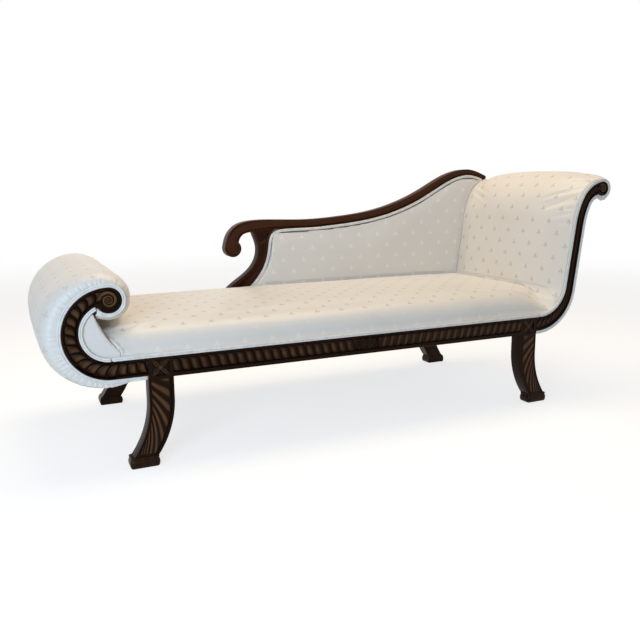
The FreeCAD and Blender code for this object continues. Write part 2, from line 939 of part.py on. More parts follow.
def head_section(thickness, seat=0.0, full=0.0):
    centre = (block_outer + head_inner_straight, rail_top + head_inner_radius)
    low = math.radians(head_pad_start)
    high = math.radians(head_face_start)
    inner_radius = head_inner_radius - seat
    face_radius = head_inner_radius - thickness
    curl_end = head_lean - head_inner_bend[1] - head_inner_curl[1]
    inner = route(
        arc_point(centre, inner_radius, low),
        head_pad_start,
        [
            (inner_radius, head_lean - head_pad_start),
            (head_inner_rise, 0),
            (head_inner_bend[0] + seat, -head_inner_bend[1]),
            (head_inner_curl[0] + seat, -head_inner_curl[1]),
            (head_volute_radius + seat, -112),
            (head_volute_radius + seat, -104),
        ],
    )
    face = route(
        arc_point(centre, face_radius, high),
        head_face_start,
        [
            (face_radius, head_lean - head_face_start),
            (head_inner_rise + full, 0),
            (head_inner_bend[0] + thickness, -head_inner_bend[1]),
            (head_inner_curl[0] + thickness, -head_inner_curl[1]),
            (head_volute_radius + head_wrap, -112),
            (head_volute_radius + head_wrap, -curl_end - 78),
        ],
    )
    return outline(inner, backwards(face))


def head_pad(extra=0.0):
    back_face = crest_front - soft_gap + extra
    front_face = pad_front - extra
    full = head_pad_thickness + extra
    stations = [
        (front_face, head_section(head_pad_edge + extra, soft_gap)),
        (front_face + 5, head_section(full - 8, soft_gap)),
        (front_face + 14, head_section(full - 3, soft_gap)),
        (front_face + 40, head_section(full, soft_gap, head_roll_crown * 0.3)),
        (front + 120, head_section(full + head_pad_crown * 0.5, soft_gap, head_roll_crown * 0.7)),
        (front + 200, head_section(full + head_pad_crown * 0.8, soft_gap, head_roll_crown * 0.9)),
        (0, head_section(full + head_pad_crown, soft_gap, head_roll_crown)),
        (rear - 200, head_section(full + head_pad_crown * 0.8, soft_gap, head_roll_crown * 0.9)),
        (rear - 120, head_section(full + head_pad_crown * 0.5, soft_gap, head_roll_crown * 0.6)),
        (crest_front - 25, head_section(full + 1, soft_gap)),
        (back_face, head_section(full - 4, soft_gap)),
    ]
    return loft_across(stations)


def head_outside_cover():
    start = head_outer(-soft_gap)
    outer = head_outer(-cover_thickness)
    shell = outline(start[1:], backwards(outer[1:]))
    return plate(shell, pad_front, -pad_front)


# Pads of the foot end. The roll's section is drawn in towards the board at its front and rear edges.
def foot_roll_section(draw_in):
    outer_edge = route(outer_start, 0, foot_outer_runs + foot_volute_runs, -soft_gap)
    start = (block_outer + 5, board_bottom - soft_gap - 6)
    roll = foot_roll_radius - foot_roll_inset * draw_in
    drop = foot_roll_drop * (1 - draw_in / 3)
    shoulder = foot_roll_shoulder - (foot_roll_shoulder - foot_volute_radius - welt_width) * draw_in
    lip = foot_roll_lip - (foot_roll_lip - foot_volute_radius - welt_width) * draw_in
    face = route(
        start,
        -drop,
        [
            (foot_roll_run + 8 * draw_in, 0),
            (roll, 90 + drop),
            (roll - 2, 90),
            (shoulder, 40),
            (lip, 50),
            (foot_roll_lip_drop * (1.1 - draw_in), 0),
            (lip, 85),
            (foot_roll_tail - 30 * draw_in, 30),
        ],
    )
    return outline(outer_edge, backwards(face))


def foot_pad_outer():
    draws = [(0, 1.0), (4, 0.72), (11, 0.45), (24, 0.22), (45, 0.08), (90, 0.0), (190, -0.05)]
    near = [(pad_front + inset, foot_roll_section(draw)) for inset, draw in draws]
    far_side = [(-y, section) for y, section in reversed(near)]
    return loft_across(near + [(0, foot_roll_section(-0.07))] + far_side, FOOT)


# The stuffed face inside the foot scroll, between the board's inner edge and the seat
foot_face_start = 0.0  # degrees past the end of the straight where it leaves the board
foot_face_end = 152.0
foot_face_low = (block_outer + 71.0, rail_top + 24.0)
foot_face_middle = (block_outer + 109.0, rail_top + 76.0)
foot_face_high = (block_outer + 138.0, rail_top + 140.0)


def foot_inner_section(bulge, extra=0.0):
    radius = foot_inner_radius - soft_gap
    centre = (block_outer + foot_inner_straight, rail_top + foot_inner_radius)
    begin = arc_point(centre, radius, math.radians(foot_face_start))
    turn = foot_face_end - foot_face_start
    edge = route(begin, foot_face_start, [(radius, turn / 2), (radius, turn / 2)])
    out = bulge + extra
    low = (foot_face_low[0] - extra, foot_face_low[1])
    face = arc_through(
        low,
        (foot_face_middle[0] - out * 0.8, foot_face_middle[1] - out * 0.5),
        (foot_face_high[0] - extra, foot_face_high[1]),
    )
    return outline(line((low[0], begin[1]), begin), edge, backwards(face))


def foot_pad_inner(extra=0.0):
    stations = [
        (pad_front - extra, foot_inner_section(0, extra)),
        (front + 120, foot_inner_section(foot_face_crown * 0.8, extra)),
        (0, foot_inner_section(foot_face_crown, extra)),
        (rear - 120, foot_inner_section(foot_face_crown * 0.8, extra)),
        (-pad_front + extra, foot_inner_section(0, extra)),
    ]
    return loft_across(stations, FOOT)


# Seat pad: bull nosed along front and rear, crowned, and cut to the pads at its ends
def seat_section(x, edge, crown):
    low = deck_top + soft_gap
    half = rear - seat_inset
    top = deck_top + edge
    front_low = Vector(x, -half, low)
    front_high = Vector(x, -half + nose_depth, top)
    rear_high = Vector(x, half - nose_depth, top)
    rear_low = Vector(x, half, low)
    slack = nose_depth * 0.22
    nose = Vector(x, -half + slack, top - edge * 0.3)
    tail = Vector(x, half - slack, top - edge * 0.3)
    edges = [
        Part.LineSegment(rear_low, front_low).toShape(),
        Part.Arc(front_low, nose, front_high).toShape(),
        Part.Arc(front_high, Vector(x, 0, top + crown), rear_high).toShape(),
        Part.Arc(rear_high, tail, rear_low).toShape(),
    ]
    return Part.Wire(edges)


# Side view of the space that the seat fills, from the foot pad to the head pad
def seat_profile():
    low = deck_top
    high = deck_top + seat_edge_height + 40
    head_edge = head_inner(soft_gap + 1)
    centre = (block_outer + head_inner_straight, rail_top + head_inner_radius)
    radius = head_inner_radius - soft_gap - 1
    climb = math.radians(head_pad_start)
    part_way = arc_point(centre, radius, climb / 2)
    slope = [head_edge[0], (head_edge[1][0], part_way, arc_point(centre, radius, climb))]
    far_top = (block_outer + head_inner_radius + 12, high)
    foot_x = -block_outer - foot_inner_straight
    foot_top = (foot_x - 20, high)
    foot_low = (-foot_face_low[0], low)
    return outline(slope, line(far_top, foot_top), line(foot_top, foot_low))


def seat_pad():
    near_end = block_outer + 2
    far_end = block_outer + 162
    stations = [
        (-far_end, seat_edge_height - 8, 2),
        (-near_end, seat_edge_height - 5, 6),
        (-near_end / 2, seat_edge_height, seat_crown),
        (0, seat_edge_height + 2, seat_crown),
        (near_end / 2, seat_edge_height + 3, seat_crown),
        (near_end, seat_edge_height + 1, 7),
        (far_end, seat_edge_height - 3, 4),
    ]
    block = Part.makeLoft([seat_section(*station) for station in stations], True, False)
    block = block.common(plate(seat_profile(), front, rear))
    block = block.cut(back_space())
    block = block.cut(foot_pad_inner(soft_gap))
    block = block.cut(head_pad(soft_gap))
    return max(block.Solids, key=lambda solid: solid.Volume)


# The space behind the back pad's face, from the stile's left edge to the head end
def back_space():
    y = crest_front - back_pad_thickness - back_pad_clear
    left = smooth([Vector(x - 3, y, z) for x, z in stile_left]).toShape()
    top = Vector(2 * block_outer, y, stile_left[0][1])
    low = Vector(2 * block_outer, y, deck_top - 10)
    foot = Vector(stile_left[-1][0] - 3, y, deck_top - 10)
    end = left.lastVertex().Point
    edges = [
        left,
        Part.LineSegment(end, foot).toShape(),
        Part.LineSegment(foot, low).toShape(),
        Part.LineSegment(low, top).toShape(),
        Part.LineSegment(top, left.firstVertex().Point).toShape(),
    ]
    return Part.Face(Part.Wire(edges)).extrude(Vector(0, frame_depth / 2, 0))


# Back pad: a crowned sheet of stuffing under the crest rail
def back_section(x, curve):
    low = deck_top + soft_gap
    high = max(height_at(curve, x), low + 60)
    behind = crest_front - soft_gap
    face = crest_front - back_pad_thickness
    middle = low + (high - low) * 0.55
    brow = Vector(x, behind - back_pad_thickness / 3, high)
    edges = [
        Part.LineSegment(Vector(x, behind, high), Vector(x, behind, low)).toShape(),
        Part.LineSegment(Vector(x, behind, low), Vector(x, face, low)).toShape(),
        Part.Arc(Vector(x, face, low), Vector(x, face - back_pad_belly, middle), brow).toShape(),
        Part.LineSegment(brow, Vector(x, behind, high)).toShape(),
    ]
    return Part.Wire(edges)


# The space over the head board's inner edge, from y to the rear
def above_head_board(y):
    edge = head_inner(soft_gap)
    high = crest_line[-1][1] + 60
    corner = (-block_outer, high)
    space = outline(edge, line((edge[-1][2][0], high), corner), line(corner, (-block_outer, edge[0][0][1])))
    return plate(space, y, rear)


# The space to the left of the stile's right edge moved by shift, behind the plane at y
def left_of_stile(shift, y):
    edge = smooth([Vector(x + shift, y, z) for x, z in stile_right])
    start = edge.value(edge.FirstParameter)
    end = edge.value(edge.LastParameter)
    high = crest_line[-1][1]
    far_left = -block_inner
    turns = [end, Vector(end.x, y, high), Vector(far_left, y, high), Vector(far_left, y, start.z), start]
    sides = [Part.LineSegment(a, b).toShape() for a, b in zip(turns, turns[1:])]
    return Part.Face(Part.Wire([edge.toShape()] + sides)).extrude(Vector(0, block_inner, 0))


def back_pad(head):
    curve = smooth(below_crest(1, welt_width + 4 * soft_gap))
    wires = [back_section(block_outer + x, curve) for x in back_pad_stations]
    pad = Part.makeLoft(wires, True, False)
    y = crest_front - back_pad_thickness * 2
    pad = pad.common(above_head_board(y)).cut(left_of_stile(welt_width + soft_gap, y)).cut(head)
    return max(pad.Solids, key=lambda solid: solid.Volume)


def back_outside_cover(crest, stile, rear_head_board):
    curve = smooth(below_crest(1, soft_gap))
    right = head_volute_centre()[0] - head_volute_radius
    start_x = stile_right[1][0]
    y = rear - 9
    upper = curve.toShape()
    first = upper.firstVertex().Point
    last = upper.lastVertex().Point
    low = rail_top + soft_gap
    edges = [
        upper,
        Part.LineSegment(last, Vector(last.x, 0, low)).toShape(),
        Part.LineSegment(Vector(last.x, 0, low), Vector(first.x, 0, low)).toShape(),
        Part.LineSegment(Vector(first.x, 0, low), first).toShape(),
    ]
    sheet = Part.Face(Part.Wire(edges)).extrude(Vector(0, cover_thickness * 0.6, 0))
    sheet.translate(Vector(0, y, 0))
    window = box(start_x - 40, right, y - 1, rear, low, crest_line[-1][1] + 60)
    sheet = sheet.common(window).cut(stile).cut(rear_head_board).cut(crest)
    return max(sheet.Solids, key=lambda solid: solid.Volume)


# Piping: flat double cords laid along the edges of the boards, the rail and the back
def welt_strip(runs, start, toward, side, at_rear=False):
    near = route(start, 0, runs, toward * soft_gap)
    far_edge = route(start, 0, runs, toward * (soft_gap + welt_width))
    y0 = front - welt_proud
    strip = plate(outline(near, backwards(far_edge)), y0, front + welt_thickness, side)
    return mirror_y(strip) if at_rear else strip


def seat_rail_welt(at_rear=False):
    reach = block_outer + head_inner_straight - soft_gap
    foot_reach = block_outer + foot_inner_straight - soft_gap
    low = rail_top + soft_gap
    end = stile_left[-1][0] - soft_gap if at_rear else reach
    strip = box(-foot_reach, end, front - welt_proud, front + welt_thickness, low, low + welt_width)
    return mirror_y(strip) if at_rear else strip


def foot_inner_welt(at_rear=False):
    start = (block_outer + foot_inner_straight, rail_top)
    runs = [(foot_inner_radius, foot_face_end / 2), (foot_inner_radius, foot_face_end / 2)]
    return welt_strip(runs, start, 1, FOOT, at_rear)


def foot_outer_welt(at_rear=False):
    start = (block_outer + soft_gap, board_bottom)
    wrap = [(foot_volute_radius, 72), (foot_volute_radius, 72), (foot_volute_radius, 72)]
    runs = [(foot_outer_straight - soft_gap, 0)] + foot_outer_runs[1:] + wrap
    return welt_strip(runs, start, -1, FOOT, at_rear)


def head_inner_welt():
    start = (block_outer + head_inner_straight, rail_top)
    wrap = [(head_volute_radius, -98), (head_volute_radius, -98)]
    return welt_strip(head_inner_runs[1:] + wrap, start, 1, HEAD)


def head_outer_welt(at_rear=False):
    start = (block_outer + soft_gap, board_bottom)
    runs = [(head_outer_straight - soft_gap, 0)] + head_outer_runs[1:]
    return welt_strip(runs, start, -1, HEAD, at_rear)


# Piping in the angle between the back pad and the wood of the crest rail and stile
def back_welt(crest, head):
    behind = crest_front - soft_gap
    y = behind - welt_thickness
    upper = smooth(below_crest(1, soft_gap)).toShape()
    lower = smooth(below_crest(1, welt_width)).toShape()
    ends = [
        Part.LineSegment(upper.firstVertex().Point, lower.firstVertex().Point).toShape(),
        Part.LineSegment(upper.lastVertex().Point, lower.lastVertex().Point).toShape(),
    ]
    band = Part.Face(Part.Wire(Part.sortEdges([upper, lower] + ends)[0]))
    band.translate(Vector(0, y, 0))
    top = band.extrude(Vector(0, welt_thickness, 0)).cut(left_of_stile(soft_gap, y))
    side = left_of_stile(welt_width, y).cut(left_of_stile(soft_gap, y))
    side = side.common(box(-block_outer, block_outer, y, behind, deck_top + soft_gap, crest_line[4][1]))
    in_front = crest.translated(Vector(0, -2 * welt_thickness, 0))
    piping = side.cut(in_front).fuse(top).cut(head)
    piping = piping.common(above_head_board(y - 1)).removeSplitter()
    return max(piping.Solids, key=lambda solid: solid.Volume)


pieces_of_part = {}


def keep(name, shape):
    pieces_of_part[name] = shape


def build():
    crest = crest_rail()
    stile = back_stile(crest)
    clear_head = head_pad(soft_gap)
    screw_holes = all_screws(joint_gap)
    bolt_holes = frame_bolts(joint_gap)
    keep("front_seat_rail", front_seat_rail().cut(screw_holes))
    keep("rear_seat_rail", mirror_y(plain_rail()).cut(screw_holes + bolt_holes + bolt_mouths()))
    keep("foot_cross_rail", cross_rail(FOOT).cut(screw_holes))
    keep("head_cross_rail", cross_rail(HEAD).cut(screw_holes))
    keep("leg_front_foot", leg(FOOT, True))
    keep("leg_front_head", leg(HEAD, True))
    keep("leg_rear_foot", leg(FOOT, False))
    keep("leg_rear_head", leg(HEAD, False))
    keep("corner_blocks", Part.makeCompound([glue_block(*corner) for corner in corners]))
    keep("corner_block_screws", Part.makeCompound(all_screws()))
    keep("seat_braces", seat_braces())
    keep("foot_scroll_front", foot_scroll(True))
    keep("foot_scroll_rear", foot_scroll(False))
    keep("foot_scroll_battens", foot_scroll_battens())
    keep("head_scroll_front", head_scroll(True))
    keep("head_scroll_rear", head_scroll(False))
    keep("head_scroll_battens", head_scroll_battens())
    keep("back_top_rail", crest)
    keep("back_stile", stile.cut(bolt_holes))
    keep("back_head_post", back_head_post(crest))
    keep("back_tacking_rail", back_tacking_rail(stile))
    keep("back_frame_bolts", Part.makeCompound(frame_bolts()))
    keep("back_webbing", back_webbing(crest))
    keep("webbing_cross", Part.makeCompound(webbing_cross()))
    keep("webbing_long", Part.makeCompound(webbing_long()))
    keep("seat_hessian", seat_hessian())
    keep("dust_cover", dust_cover())
    keep("seat_pad", seat_pad())
    keep("head_pad", head_pad())
    keep("head_outside_cover", head_outside_cover())
    keep("foot_pad_outer", foot_pad_outer())
    keep("foot_pad_inner", foot_pad_inner())
    keep("back_pad", back_pad(clear_head))
    keep("back_outside_cover", back_outside_cover(crest, stile, pieces_of_part["head_scroll_rear"]))
    keep("seat_front_piping", seat_rail_welt())
    keep("seat_rear_piping", seat_rail_welt(True))
    keep("foot_inner_piping", foot_inner_welt())
    keep("foot_outer_piping", foot_outer_welt())
    keep("foot_rear_inner_piping", foot_inner_welt(True))
    keep("foot_rear_outer_piping", foot_outer_welt(True))
    keep("head_inner_piping", head_inner_welt())
    keep("head_outer_piping", head_outer_welt())
    keep("head_rear_outer_piping", head_outer_welt(True))
    keep("back_piping", back_welt(crest, clear_head))


build()
whole = Part.makeCompound(list(pieces_of_part.values()))
limits = whole.BoundBox
home = Vector(-(limits.XMin + limits.XMax) / 2, -(limits.YMin + limits.YMax) / 2, -limits.ZMin)
for name, shape in pieces_of_part.items():
    placed = shape.copy()
    placed.translate(home)
    placed.exportStep("parts/" + name + ".step")
sides = (limits.XLength, limits.YLength, limits.ZLength)
print("length, depth and height", [round(side, 1) for side in sides])
print("moved", home)
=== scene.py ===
import math

import bmesh
import bpy
import numpy as np
from mathutils import Matrix, Vector
from mathutils.bvhtree import BVHTree


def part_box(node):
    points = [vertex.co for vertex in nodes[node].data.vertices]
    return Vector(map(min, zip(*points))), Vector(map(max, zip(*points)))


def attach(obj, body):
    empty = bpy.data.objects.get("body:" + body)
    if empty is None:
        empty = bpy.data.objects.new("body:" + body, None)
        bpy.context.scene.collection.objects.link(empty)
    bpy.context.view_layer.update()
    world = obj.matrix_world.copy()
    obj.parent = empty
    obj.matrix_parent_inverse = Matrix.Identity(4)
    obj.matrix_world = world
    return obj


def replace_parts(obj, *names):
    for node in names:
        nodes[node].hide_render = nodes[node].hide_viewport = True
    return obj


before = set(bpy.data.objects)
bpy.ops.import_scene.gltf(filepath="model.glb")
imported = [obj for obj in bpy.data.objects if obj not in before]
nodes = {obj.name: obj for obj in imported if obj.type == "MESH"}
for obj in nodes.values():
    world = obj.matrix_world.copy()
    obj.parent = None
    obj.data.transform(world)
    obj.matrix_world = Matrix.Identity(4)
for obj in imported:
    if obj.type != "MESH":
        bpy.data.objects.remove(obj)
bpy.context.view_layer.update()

railLow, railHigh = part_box("front_seat_rail")
middleX = (railLow.x + railHigh.x) / 2  # x of the middle of the front rail, where the drawing starts
frontY = railLow.y  # the front face of the rail, the boards and the legs
print("frame loaded")

# All that follows is drawn in millimetres: x from the middle of the front rail, y back from its face, z up
seatFrame = {
    "railLength": 1252.0,
    "railBottom": 260.0,
    "railTop": 320.0,
    "depth": 710.0,
    "blockWidth": 72.0,
    "boardDepth": 35.0,
    "blockDepth": 47.0,
}
blockInner = seatFrame["railLength"] / 2
blockOuter = blockInner + seatFrame["blockWidth"]


def toFrame(points):  # millimetres of the drawing to metres of the frame
    points = np.asarray(points, float) / 1000.0
    return points + np.array([middleX, frontY, 0.0])


# Lines and curves


def follow(start, heading, runs, shift=0.0, step=1.5):  # points and left normals along lines and arcs
    angle = math.radians(heading)
    x = start[0] - shift * math.sin(angle)
    z = start[1] + shift * math.cos(angle)
    points, normals = [(x, z)], [(-math.sin(angle), math.cos(angle))]
    for size, turn in runs:
        if turn == 0:
            count = max(2, int(size / step))
            for share in np.linspace(0, 1, count + 1)[1:]:
                reach = share * size
                points.append((x + reach * math.cos(angle), z + reach * math.sin(angle)))
                normals.append((-math.sin(angle), math.cos(angle)))
        else:
            side = math.copysign(1.0, turn)
            radius = size - side * shift
            sweep = math.radians(turn)
            cx, cz = x - side * radius * math.sin(angle), z + side * radius * math.cos(angle)
            count = max(4, int(radius * abs(sweep) / step))
            for share in np.linspace(0, 1, count + 1)[1:]:
                now = angle + sweep * share
                points.append((cx + side * radius * math.sin(now), cz - side * radius * math.cos(now)))
                normals.append((-math.sin(now), math.cos(now)))
            angle += sweep
        x, z = points[-1]
    return np.array(points), np.array(normals)


def lengthAlong(points):
    steps = np.linalg.norm(np.diff(points, axis=0), axis=1)
    return np.concatenate([[0.0], np.cumsum(steps)])


def evenly(points, count):  # the same line with count points at even distances
    along = lengthAlong(points)
    wanted = np.linspace(0, along[-1], count)
    return np.stack([np.interp(wanted, along, column) for column in points.T], axis=1)


def smoothLine(points, count):  # a natural cubic spline through a few points
    points = np.asarray(points, float)
    knots = lengthAlong(points)
    gaps = np.diff(knots)
    size = len(points)
    matrix, right = np.eye(size), np.zeros((size, points.shape[1]))
    for i in range(1, size - 1):
        matrix[i, i - 1 : i + 2] = gaps[i - 1], 2 * (gaps[i - 1] + gaps[i]), gaps[i]
        rise = (points[i + 1] - points[i]) / gaps[i] - (points[i] - points[i - 1]) / gaps[i - 1]
        right[i] = 6 * rise
    bend = np.linalg.solve(matrix, right)
    at = np.linspace(0, knots[-1], count)
    span = np.clip(np.searchsorted(knots, at) - 1, 0, size - 2)
    gap = gaps[span][:, None]
    ahead, behind = (knots[span + 1] - at)[:, None], (at - knots[span])[:, None]
    return (
        (bend[span] * ahead**3 + bend[span + 1] * behind**3) / (6 * gap)
        + (points[span] / gap - bend[span] * gap / 6) * ahead
        + (points[span + 1] / gap - bend[span + 1] * gap / 6) * behind
    )


def nearestOn(line, points):  # distance along a line, and distance from it, for many points
    along = lengthAlong(line)
    bestPlace, bestGap = np.zeros(len(points)), np.full(len(points), 1e9)
    for i in range(len(line) - 1):
        a, b = line[i], line[i + 1]
        d = b - a
        share = np.clip(((points - a) @ d) / max(d @ d, 1e-9), 0, 1)
        gap = np.linalg.norm(points - (a + share[:, None] * d), axis=1)
        closer = gap < bestGap
        bestGap[closer] = gap[closer]
        bestPlace[closer] = along[i] + share[closer] * (along[i + 1] - along[i])
    return bestPlace, bestGap


# Meshes


def placePiece(name, mesh, material):
    piece = bpy.data.objects.new(name, mesh)
    bpy.context.scene.collection.objects.link(piece)
    mesh.materials.append(material)
    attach(piece, "root")
    return piece


def addPiece(name, points, faces, material, relief, sharp=38):
    mesh = bpy.data.meshes.new(name)
    mesh.from_pydata(toFrame(points).tolist(), [], faces)
    mesh.update()
    solid = bmesh.new()
    solid.from_mesh(mesh)
    bmesh.ops.recalc_face_normals(solid, faces=solid.faces)
    solid.to_mesh(mesh)
    solid.free()
    mesh.polygons.foreach_set("use_smooth", [True] * len(mesh.polygons))
    mesh.set_sharp_from_angle(angle=math.radians(sharp))
    # relief: a tint per point that paints shade into recesses, and highlight with wear onto raised parts,
    # of the carved wood
    layer = mesh.attributes.new("relief", "FLOAT", "POINT")
    layer.data.foreach_set("value", np.asarray(relief, np.float32))
    return placePiece(name, mesh, material)


class Pile:  # gathers the closed shells of one piece
    def __init__(self):
        self.points, self.faces, self.relief = [], [], []

    def add(self, points, faces, relief):
        first = len(self.points)
        self.points.extend(map(tuple, points))
        self.faces.extend([tuple(first + i for i in face) for face in faces])
        self.relief.extend(relief)

    def piece(self, name, material, slot, sharp=38):
        return addPiece(name, self.points, self.faces, material, self.relief, sharp)


def gridFaces(rows, columns):
    faces = []
    for i in range(rows - 1):
        for j in range(columns - 1):
            here = i * columns + j
            faces.append((here, here + 1, here + columns + 1, here + columns))
    return faces


def tubeFaces(rings, size, first=0):  # the skin of a tube made of closed rings, with both its ends
    faces = []
    for i in range(rings - 1):
        here, ahead = first + i * size, first + (i + 1) * size
        for j in range(size):
            k = (j + 1) % size
            faces.append((here + j, ahead + j, ahead + k, here + k))
    last = first + (rings - 1) * size
    return faces + [tuple(range(first, first + size)), tuple(range(last, last + size))]


def carvedPlate(pile, low, high, shares, heightAt, depth, back, front=0.0):
    # a plate between two edges whose face stands up to `depth` in front of its sunk ground
    rows, columns = len(low), len(shares)
    v = np.asarray(shares)[None, :, None]
    flat = low[:, None, :] * (1 - v) + high[:, None, :] * v
    u = np.linspace(0, 1, rows)[:, None] + np.zeros((1, columns))
    height, tint = heightAt(u, v[:, :, 0] + np.zeros((rows, 1)), flat)
    y = front + depth - height
    points = np.stack([flat[..., 0], y, flat[..., 1]], axis=2).reshape(-1, 3)
    faces = gridFaces(rows, columns)
    total = rows * columns
    edge = [(p[0], back, p[1]) for p in low] + [(p[0], back, p[1]) for p in high]
    for i in range(rows - 1):
        a, b = total + i, total + i + 1
        c, d = total + rows + i, total + rows + i + 1
        faces.append((i * columns, (i + 1) * columns, b, a))
        faces.append(((i + 1) * columns - 1, (i + 2) * columns - 1, d, c))
        faces.append((a, b, d, c))
    for i, start in ((0, 0), (rows - 1, (rows - 1) * columns)):
        faces.append(tuple(range(start, start + columns)) + (total + rows + i, total + i))
    relief = list(tint.ravel()) + [0.55] * (2 * rows)
    pile.add(list(points) + edge, faces, relief)


def carvedDisc(pile, centre, radius, heightAt, depth, back, front=0.0, rings=56, around=150):
    radii = radius * np.linspace(0, 1, rings + 1)[1:]
    angles = np.linspace(0, 2 * math.pi, around, endpoint=False)
    r, a = np.meshgrid(radii, angles, indexing="ij")
    height, tint = heightAt(r, a)
    points = [(centre[0], front + depth - float(height[0].mean()), centre[1])]
    x, z = centre[0] + r * np.cos(a), centre[1] + r * np.sin(a)
    points += list(np.stack([x, front + depth - height, z], axis=2).reshape(-1, 3))
    rim = [(x[-1, j], back, z[-1, j]) for j in range(around)]
    faces = [(0, 1 + j, 1 + (j + 1) % around) for j in range(around)]
    for i in range(rings - 1):
        for j in range(around):
            here, ahead, k = 1 + i * around, 1 + (i + 1) * around, (j + 1) % around
            faces.append((here + j, ahead + j, ahead + k, here + k))
    last, first = 1 + (rings - 1) * around, 1 + rings * around
    for j in range(around):
        k = (j + 1) % around
        faces.append((last + j, first + j, first + k, last + k))
    faces.append(tuple(first + j for j in range(around)))
    relief = [float(tint[0].mean())] + list(tint.ravel()) + [0.55] * around
    pile.add(points + rim, faces, relief)


def sweep(pile, low, high, profile, relief):
    # rings of (share from low to high, y) pairs, carried along two edges
    count, size = len(low), len(profile)
    shares = np.array([p[0] for p in profile])[None, :, None]
    depths = np.array([p[1] for p in profile])
    flat = low[:, None, :] * (1 - shares) + high[:, None, :] * shares
    points = np.stack([flat[..., 0], np.broadcast_to(depths, (count, size)), flat[..., 1]], axis=2)
    pile.add(list(points.reshape(-1, 3)), tubeFaces(count, size), list(relief) * count)


def arris(gap, radius=1.4):  # how far a rounded edge falls away at a distance from it
    inside = np.clip(radius - gap, 0, radius)
    return radius - np.sqrt(np.maximum(radius**2 - inside**2, 0))


# Shader maths


class Wire:  # one socket that takes part in sums
    def __init__(self, shade, socket):
        self.shade, self.socket = shade, socket

    def by(self, operation, *others):
        values = dict(enumerate((self,) + others))
        return self.shade.node("ShaderNodeMath", {"operation": operation}, values)

    def turned(self, operation, other):
        return self.shade.node("ShaderNodeMath", {"operation": operation}, {0: other, 1: self})

    def __add__(self, other):
        return self.by("ADD", other)

    def __sub__(self, other):
        return self.by("SUBTRACT", other)

    def __mul__(self, other):
        return self.by("MULTIPLY", other)

    def __truediv__(self, other):
        return self.by("DIVIDE", other)

    def __pow__(self, other):
        return self.by("POWER", other)

    def __rsub__(self, other):
        return self.turned("SUBTRACT", other)

    def __rtruediv__(self, other):
        return self.turned("DIVIDE", other)

    __radd__ = __add__
    __rmul__ = __mul__


class Shade:  # one material and the single method that makes its nodes
    def __init__(self, name):
        self.material = bpy.data.materials.new(name)
        self.material.use_nodes = True
        self.tree = self.material.node_tree
        self.tree.nodes.clear()

    def node(self, kind, settings=None, values=None, out=0):
        made = self.tree.nodes.new(kind)
        for key, value in (settings or {}).items():
            setattr(made, key, value)
        for key, value in (values or {}).items():
            if isinstance(value, Wire):
                self.tree.links.new(value.socket, made.inputs[key])
            else:
                made.inputs[key].default_value = value
        return Wire(self, made.outputs[out]) if made.outputs else None

    def parts(self, wire):
        apart = self.node("ShaderNodeSeparateXYZ", {}, {0: wire})
        return [Wire(self, socket) for socket in apart.socket.node.outputs]

    def place(self):
        return self.node("ShaderNodeTexCoord", {}, {}, "Object")

    def noise(self, at, scale, detail=3.0, roughness=0.55):
        values = {"Vector": at, "Scale": scale, "Detail": detail, "Roughness": roughness}
        return self.node("ShaderNodeTexNoise", {}, values, "Fac")

    def stretched(self, at, factors):
        return self.node("ShaderNodeVectorMath", {"operation": "MULTIPLY"}, {0: at, 1: factors})

    def step(self, value, low, high):
        values = {"Value": value, "From Min": low, "From Max": high}
        return self.node("ShaderNodeMapRange", {"interpolation_type": "SMOOTHSTEP"}, values)

    def blend(self, share, first, second):
        return self.node("ShaderNodeMix", {"data_type": "RGBA"}, {0: share, 6: first, 7: second}, 2)

    def bump(self, height, distance, strength=1.0):
        values = {"Height": height, "Distance": distance, "Strength": strength}
        return self.node("ShaderNodeBump", {}, values)

    def finish(self, values):
        surface = self.node("ShaderNodeBsdfPrincipled", {}, values)
        self.node("ShaderNodeOutputMaterial", {}, {"Surface": surface})
        return self.material


def colour(red, green, blue):
    return (red, green, blue, 1.0)


satin = {
    "ground": colour(0.745, 0.70, 0.635),
    "shadow": colour(0.66, 0.61, 0.54),
    # the next two: painted sheen and painted shade that the sprigs take on by which way they face
    "sheenLight": colour(0.93, 0.925, 0.92),
    "sheenShade": colour(0.36, 0.33, 0.30),
    "spacing": 0.086,  # between sprigs along a row
    "rowHeight": 0.045,
    "roughness": 0.42,
}


def ellipse(shade, x, y, centre, radii, turn):  # 1 inside a small turned ellipse, 0 outside
    c, s = math.cos(turn), math.sin(turn)
    dx, dy = x - centre[0], y - centre[1]
    a = (dx * c + dy * s) / radii[0]
    b = (dy * c - dx * s) / radii[1]
    return 1 - shade.step(a * a + b * b, 0.75, 1.15)


